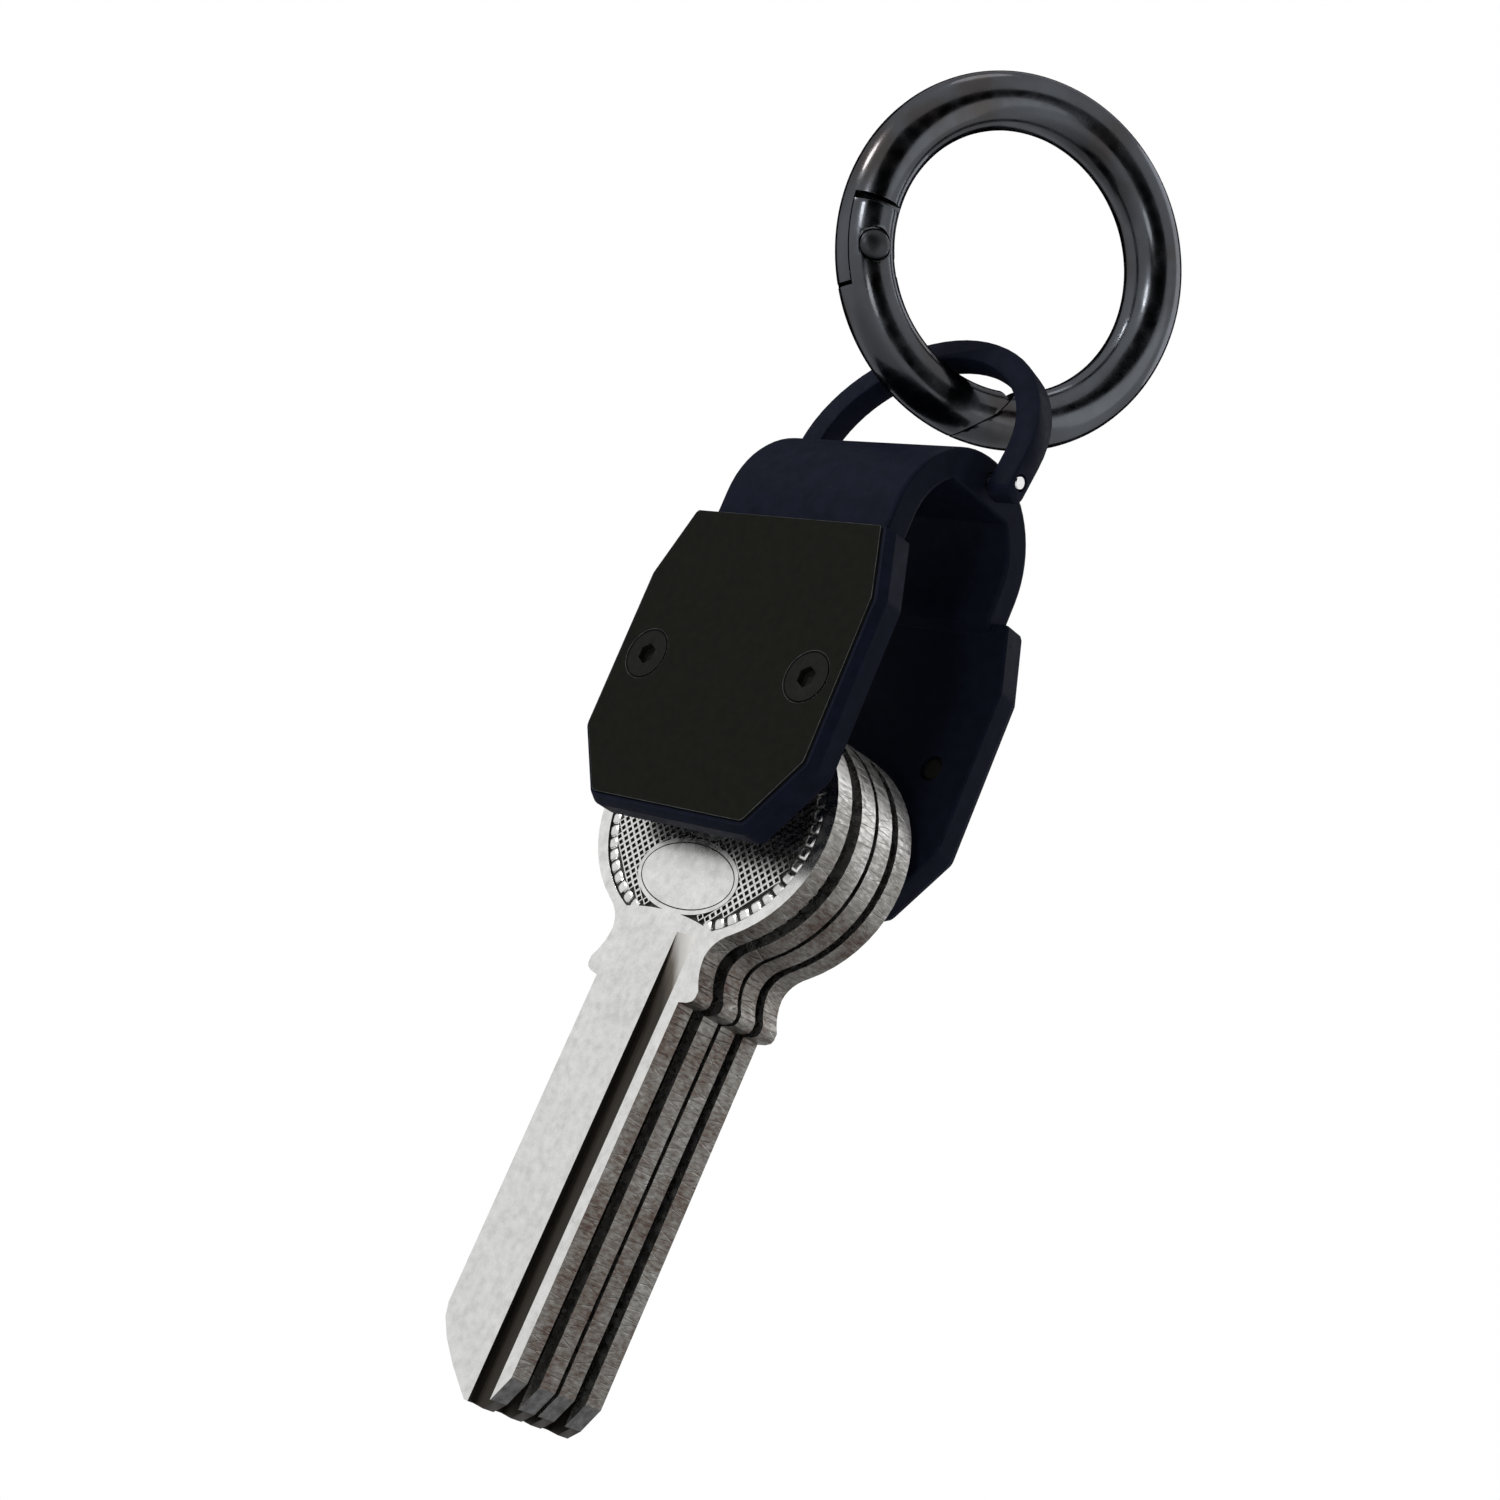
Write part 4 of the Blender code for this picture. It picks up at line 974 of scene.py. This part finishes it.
# %% Key frame and outline
KEY_LEANS = (1.9, 1.9, 1.9, 1.3)  # degrees, as in the CAD model
KEY_THICKNESS = 1.6 * MM

key_views = []
for number, lean in enumerate(KEY_LEANS, start=1):
    low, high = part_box("key_" + str(number))
    place = Vector((post_place.x, (low.y + high.y) / 2, post_place.z))
    key_views.append(Matrix.Translation(place) @ Matrix.Rotation(radians(lean), 4, "Y"))
key = cad_copy("key_1", "key_blank")
key.data.transform(key_views[0].inverted())
print("key blank", [round(size / MM, 2) for size in key.dimensions], "mm")

# %% [markdown]
# ## The sunk field of the bow
# An oval field is sunk into both faces of the bow. A ring round the hole, an oval below it and
# the neck stay at full height. The cutter is the field's oval with these three taken out of it.

# %% Sunk field
FIELD_HALF = (10.2 * MM, 8.9 * MM)
FIELD_DROP = 3.6 * MM
FIELD_DEPTH = 0.22 * MM
COLLAR_RADIUS = 5.4 * MM
BOSS_HALF = (5.05 * MM, 2.82 * MM)
BOSS_DROP = 8.3 * MM
NECK_CIRCLE = 19.6 * MM
NECK_TOP = -11.05 * MM
KEY_ROUND = 0.06 * MM
UPRIGHT = Matrix.Rotation(pi / 2, 4, "X")


def oval(name, half, drop, depth, centre_depth):
    """An oval prism that faces -Y."""
    bpy.ops.mesh.primitive_cylinder_add(vertices=128, radius=1.0, depth=1.0)
    piece = bpy.context.object
    piece.name = name
    piece.matrix_world = (Matrix.Translation((0, centre_depth, -drop)) @ UPRIGHT
                          @ Matrix.Diagonal((half[0], half[1], depth, 1)))
    return settle(piece)


for side in (-1, 1):
    at = side * (KEY_THICKNESS / 2 - FIELD_DEPTH + PASS / 2)
    field = oval("field", FIELD_HALF, FIELD_DROP, PASS, at)
    cut(field, oval("collar", (COLLAR_RADIUS, COLLAR_RADIUS), 0.0, 2 * PASS, at))
    cut(field, oval("boss", BOSS_HALF, BOSS_DROP, 2 * PASS, at))
    cut(field, oval("neck", (NECK_CIRCLE, NECK_CIRCLE), NECK_CIRCLE - NECK_TOP, 2 * PASS, at))
    cut(key, field)
softened(key, KEY_ROUND)
print("bow sunk by", FIELD_DEPTH / MM, "mm on both faces")

# %% [markdown]
# ## Fine lines round the oval
# The raised oval is left bare. A die has pressed two fine lines into it, one round its outside
# and one a little further in. Each is cut by the thin wall between two ovals.

# %% Fine lines
BOSS_RING = 0.42 * MM
OUTER_LINE, OUTER_LINE_DEPTH = 0.13 * MM, 0.17 * MM
INNER_LINE, INNER_LINE_DEPTH = 0.09 * MM, 0.12 * MM

inner_half = (BOSS_HALF[0] - BOSS_RING, BOSS_HALF[1] - BOSS_RING)
for side in (-1, 1):
    for half, width, depth in ((BOSS_HALF, OUTER_LINE, OUTER_LINE_DEPTH),
                               (inner_half, INNER_LINE, INNER_LINE_DEPTH)):
        at = side * (KEY_THICKNESS / 2 - depth + PASS / 2)
        line = oval("line", (half[0] + width, half[1] + width), BOSS_DROP, PASS, at)
        cut(key, cut(line, oval("line middle", half, BOSS_DROP, 2 * PASS, at)))
print("key blank has", len(key.data.polygons), "faces before its knurls")

# %% [markdown]
# ## Knurls
# The field is a fine diagonal mesh with a pit in each of its squares, whose floor and lower walls
# get painted shade, and a row of blocky studs runs along its edge. One square of the mesh is a
# cube whose top is inset and pushed in, and one stud is a bevelled cube.

# %% One square and one stud
PITCH = 0.51 * MM
MESH_RIB = 0.085 * MM
MESH_SLOPE = 0.07 * MM
MESH_PIT = 0.16 * MM
UNSHADED_WALL_SHARE = 0.3  # the share of a pit's wall, from its top, that gets no painted shade
STUD_SIZE = 0.88 * MM
STUD_ROUND = 0.3 * MM

bpy.ops.mesh.primitive_cube_add(size=1.0)
square = bpy.context.object
square.scale = (PITCH, PITCH, FIELD_DEPTH)
square.rotation_euler = (0, 0, pi / 4)
settle(square)
bpy.ops.object.mode_set(mode="EDIT")
bpy.ops.mesh.select_all(action="DESELECT")
bpy.ops.object.mode_set(mode="OBJECT")
for polygon in square.data.polygons:
    polygon.select = polygon.normal.z > 0.9
bpy.ops.object.mode_set(mode="EDIT")
bpy.ops.mesh.inset(thickness=MESH_RIB, depth=0.0)
bpy.ops.mesh.inset(thickness=MESH_SLOPE, depth=-MESH_PIT)
bpy.ops.object.mode_set(mode="OBJECT")
bpy.ops.mesh.primitive_cube_add(size=1.0)
stud = bpy.context.object
stud.scale = (STUD_SIZE, STUD_SIZE, 2 * FIELD_DEPTH)
softened(settle(stud), STUD_ROUND)
for template in (square, stud):
    template.data.materials.append(key_face)
    template.data.materials.append(knurl_floor_painted_shade)
unshaded_above = FIELD_DEPTH / 2 - UNSHADED_WALL_SHARE * MESH_PIT
for polygon in square.data.polygons:
    x, y, z = polygon.center
    if abs(x) + abs(y) < PITCH / sqrt(2) - MESH_RIB and polygon.normal.z > 0.1 and z < unshaded_above:
        polygon.material_index = 1
print("one square of the mesh has", len(square.data.polygons), "faces")

# %% [markdown]
# ## Filling the field
# Squares lie on a diagonal lattice, wherever the field is free, and studs follow its rim. The
# mesh lies a little lower than the raised ovals, so squares that reach under them are hidden
# there. Each copy has its own mesh, and all of them are joined to the key later.

# %% Copies over both faces
MESH_DROP = 0.03 * MM
STUD_SINK = 0.02 * MM
STUD_PITCH = 1.05 * MM
STUD_INSET = 0.48 * MM  # from the edge of the field to the middle of a stud

face_depth = KEY_THICKNESS / 2
floor_depth = face_depth - FIELD_DEPTH
copies = []


def inside_field(x, z, margin):
    """Whether a point lies in the sunk field, at least a margin from its edge."""
    half_x, half_z = FIELD_HALF[0] - margin, FIELD_HALF[1] - margin
    in_oval = (x / half_x) ** 2 + ((z + FIELD_DROP) / half_z) ** 2 < 1
    off_collar = x * x + z * z > COLLAR_RADIUS ** 2
    off_boss = (x / BOSS_HALF[0]) ** 2 + ((z + BOSS_DROP) / BOSS_HALF[1]) ** 2 > 1
    off_neck = x * x + (z - NECK_TOP + NECK_CIRCLE) ** 2 > NECK_CIRCLE ** 2
    return in_oval and off_collar and off_boss and off_neck


def add_copy(template, matrix):
    """A copy of a small shape with its own mesh, kept to be joined later."""
    made = bpy.data.objects.new(template.name, template.data.copy())
    bpy.context.scene.collection.objects.link(made)
    made.data.transform(matrix)
    copies.append(made)


reach_count = ceil(2 * FIELD_HALF[0] / PITCH)
lattice = range(-reach_count, reach_count + 1)
rim_x, rim_z = FIELD_HALF[0] - STUD_INSET, FIELD_HALF[1] - STUD_INSET
stud_count = round(2 * pi * sqrt((rim_x ** 2 + rim_z ** 2) / 2) / STUD_PITCH)
for side in (-1, 1):
    out = Matrix.Rotation(-side * pi / 2, 4, "X")
    level = side * (floor_depth + FIELD_DEPTH / 2 - MESH_DROP)
    for i in lattice:
        for j in lattice:
            x = (i + j) * PITCH / sqrt(2)
            z = (i - j) * PITCH / sqrt(2) - FIELD_DROP
            if inside_field(x, z, STUD_INSET + STUD_SIZE / 2 + PITCH / 4):
                add_copy(square, Matrix.Translation((x, level, z)) @ out)
    for step in range(stud_count):
        angle = 2 * pi * step / stud_count
        x, z = rim_x * cos(angle), rim_z * sin(angle) - FIELD_DROP
        if inside_field(x, z, 0.0):
            tangent = atan2(rim_z * cos(angle), -rim_x * sin(angle))
            add_copy(stud, Matrix.Translation((x, side * (floor_depth - STUD_SINK), z))
                     @ Matrix.Rotation(-tangent, 4, "Y") @ out)
print("squares and studs:", len(copies))
bpy.data.objects.remove(square)
bpy.data.objects.remove(stud)

# %% [markdown]
# ## Which face gets which finish
# A key has tumbled faces, milled edges and a sheared tip. Painted shade darkens its groove, the
# floor of the field, every step round the ovals and the backs that face the next key. Each
# polygon gets its look by where it points and how deep it lies.

# %% Key finishes by place
KEY_LOOKS = [key_face, key_edge, groove_floor_painted_shade, knurl_floor_painted_shade, groove_wall_painted_shade, key_cut, key_back_painted_shade]
GROOVE_LEFT = 1.37 * MM
GROOVE_RIGHT = 3.4 * MM
TIP_TOP = -41.5 * MM
SKIN = 0.02 * MM  # what lies deeper than this is no longer the face
LINE_FLOOR = 0.09 * MM  # what lies deeper than this is the field or a line
STEP_FLOOR = FIELD_DEPTH + 0.05 * MM
FIELD_REACH = 1.02  # the field's oval with the steps at its edge


def look_of(polygon):
    """The finish of one polygon of the blank."""
    (x, y, z), normal = polygon.center, polygon.normal
    depth = face_depth - abs(y)
    in_bow = (x / FIELD_HALF[0]) ** 2 + ((z + FIELD_DROP) / FIELD_HALF[1]) ** 2 < FIELD_REACH
    if GROOVE_LEFT < x < GROOVE_RIGHT and z < GROOVE_TOP and y < 0 and depth > SKIN:
        return groove_wall_painted_shade if abs(normal.x) > 0.7 else groove_floor_painted_shade
    if in_bow and abs(normal.y) > 0.9 and depth > LINE_FLOOR:
        return knurl_floor_painted_shade
    if in_bow and abs(normal.y) < 0.5 and depth < STEP_FLOOR:
        return knurl_floor_painted_shade
    if normal.y > 0.98 and depth < SKIN:
        return key_back_painted_shade
    if in_bow or abs(normal.y) > 0.6:
        return key_face
    return key_cut if z < TIP_TOP and normal.z < -0.3 else key_edge


for look in KEY_LOOKS:
    key.data.materials.append(look)
for polygon in key.data.polygons:
    polygon.material_index = KEY_LOOKS.index(look_of(polygon))
only(key, *copies)
bpy.ops.object.join()
smooth(key, 20.0)
print("key blank has", len(key.data.polygons), "faces")

# %% [markdown]
# ## Four blanks on the post
# The finished blank is copied to each key's own depth and lean. Every copy gets its own mesh,
# because its place is stored there. The backs carry painted shade for the gap to the next key;
# the last key has no neighbour behind it, so its back gets the front's finish.

# %% Four keys
for number, view in enumerate(key_views, start=1):
    blank = bpy.data.objects.new("key_blank_" + str(number), key.data.copy())
    bpy.context.scene.collection.objects.link(blank)
    blank.data.transform(view)
    stands_for(blank, "key_" + str(number))
blank.data.materials[KEY_LOOKS.index(key_back_painted_shade)] = key_face
bpy.data.objects.remove(key)

# %% [markdown]
# ## Hidden pieces
# The post, its screw, the spacers, the washers and the spring are hardly seen. Their nodes are
# round enough as they are. So whatever is still shown of the CAD model only gets its finish.

# %% Hidden pieces
for name, node in nodes.items():
    if not node.hide_render:
        node.data.materials.clear()
        node.data.materials.append(bright_steel if name == "gate_spring" else plain_steel)
        print(name, "keeps its node")

# %% [markdown]
# ## Update
# The view layer is brought up to date with every finer surface in place.

# %% Update
bpy.context.view_layer.update()
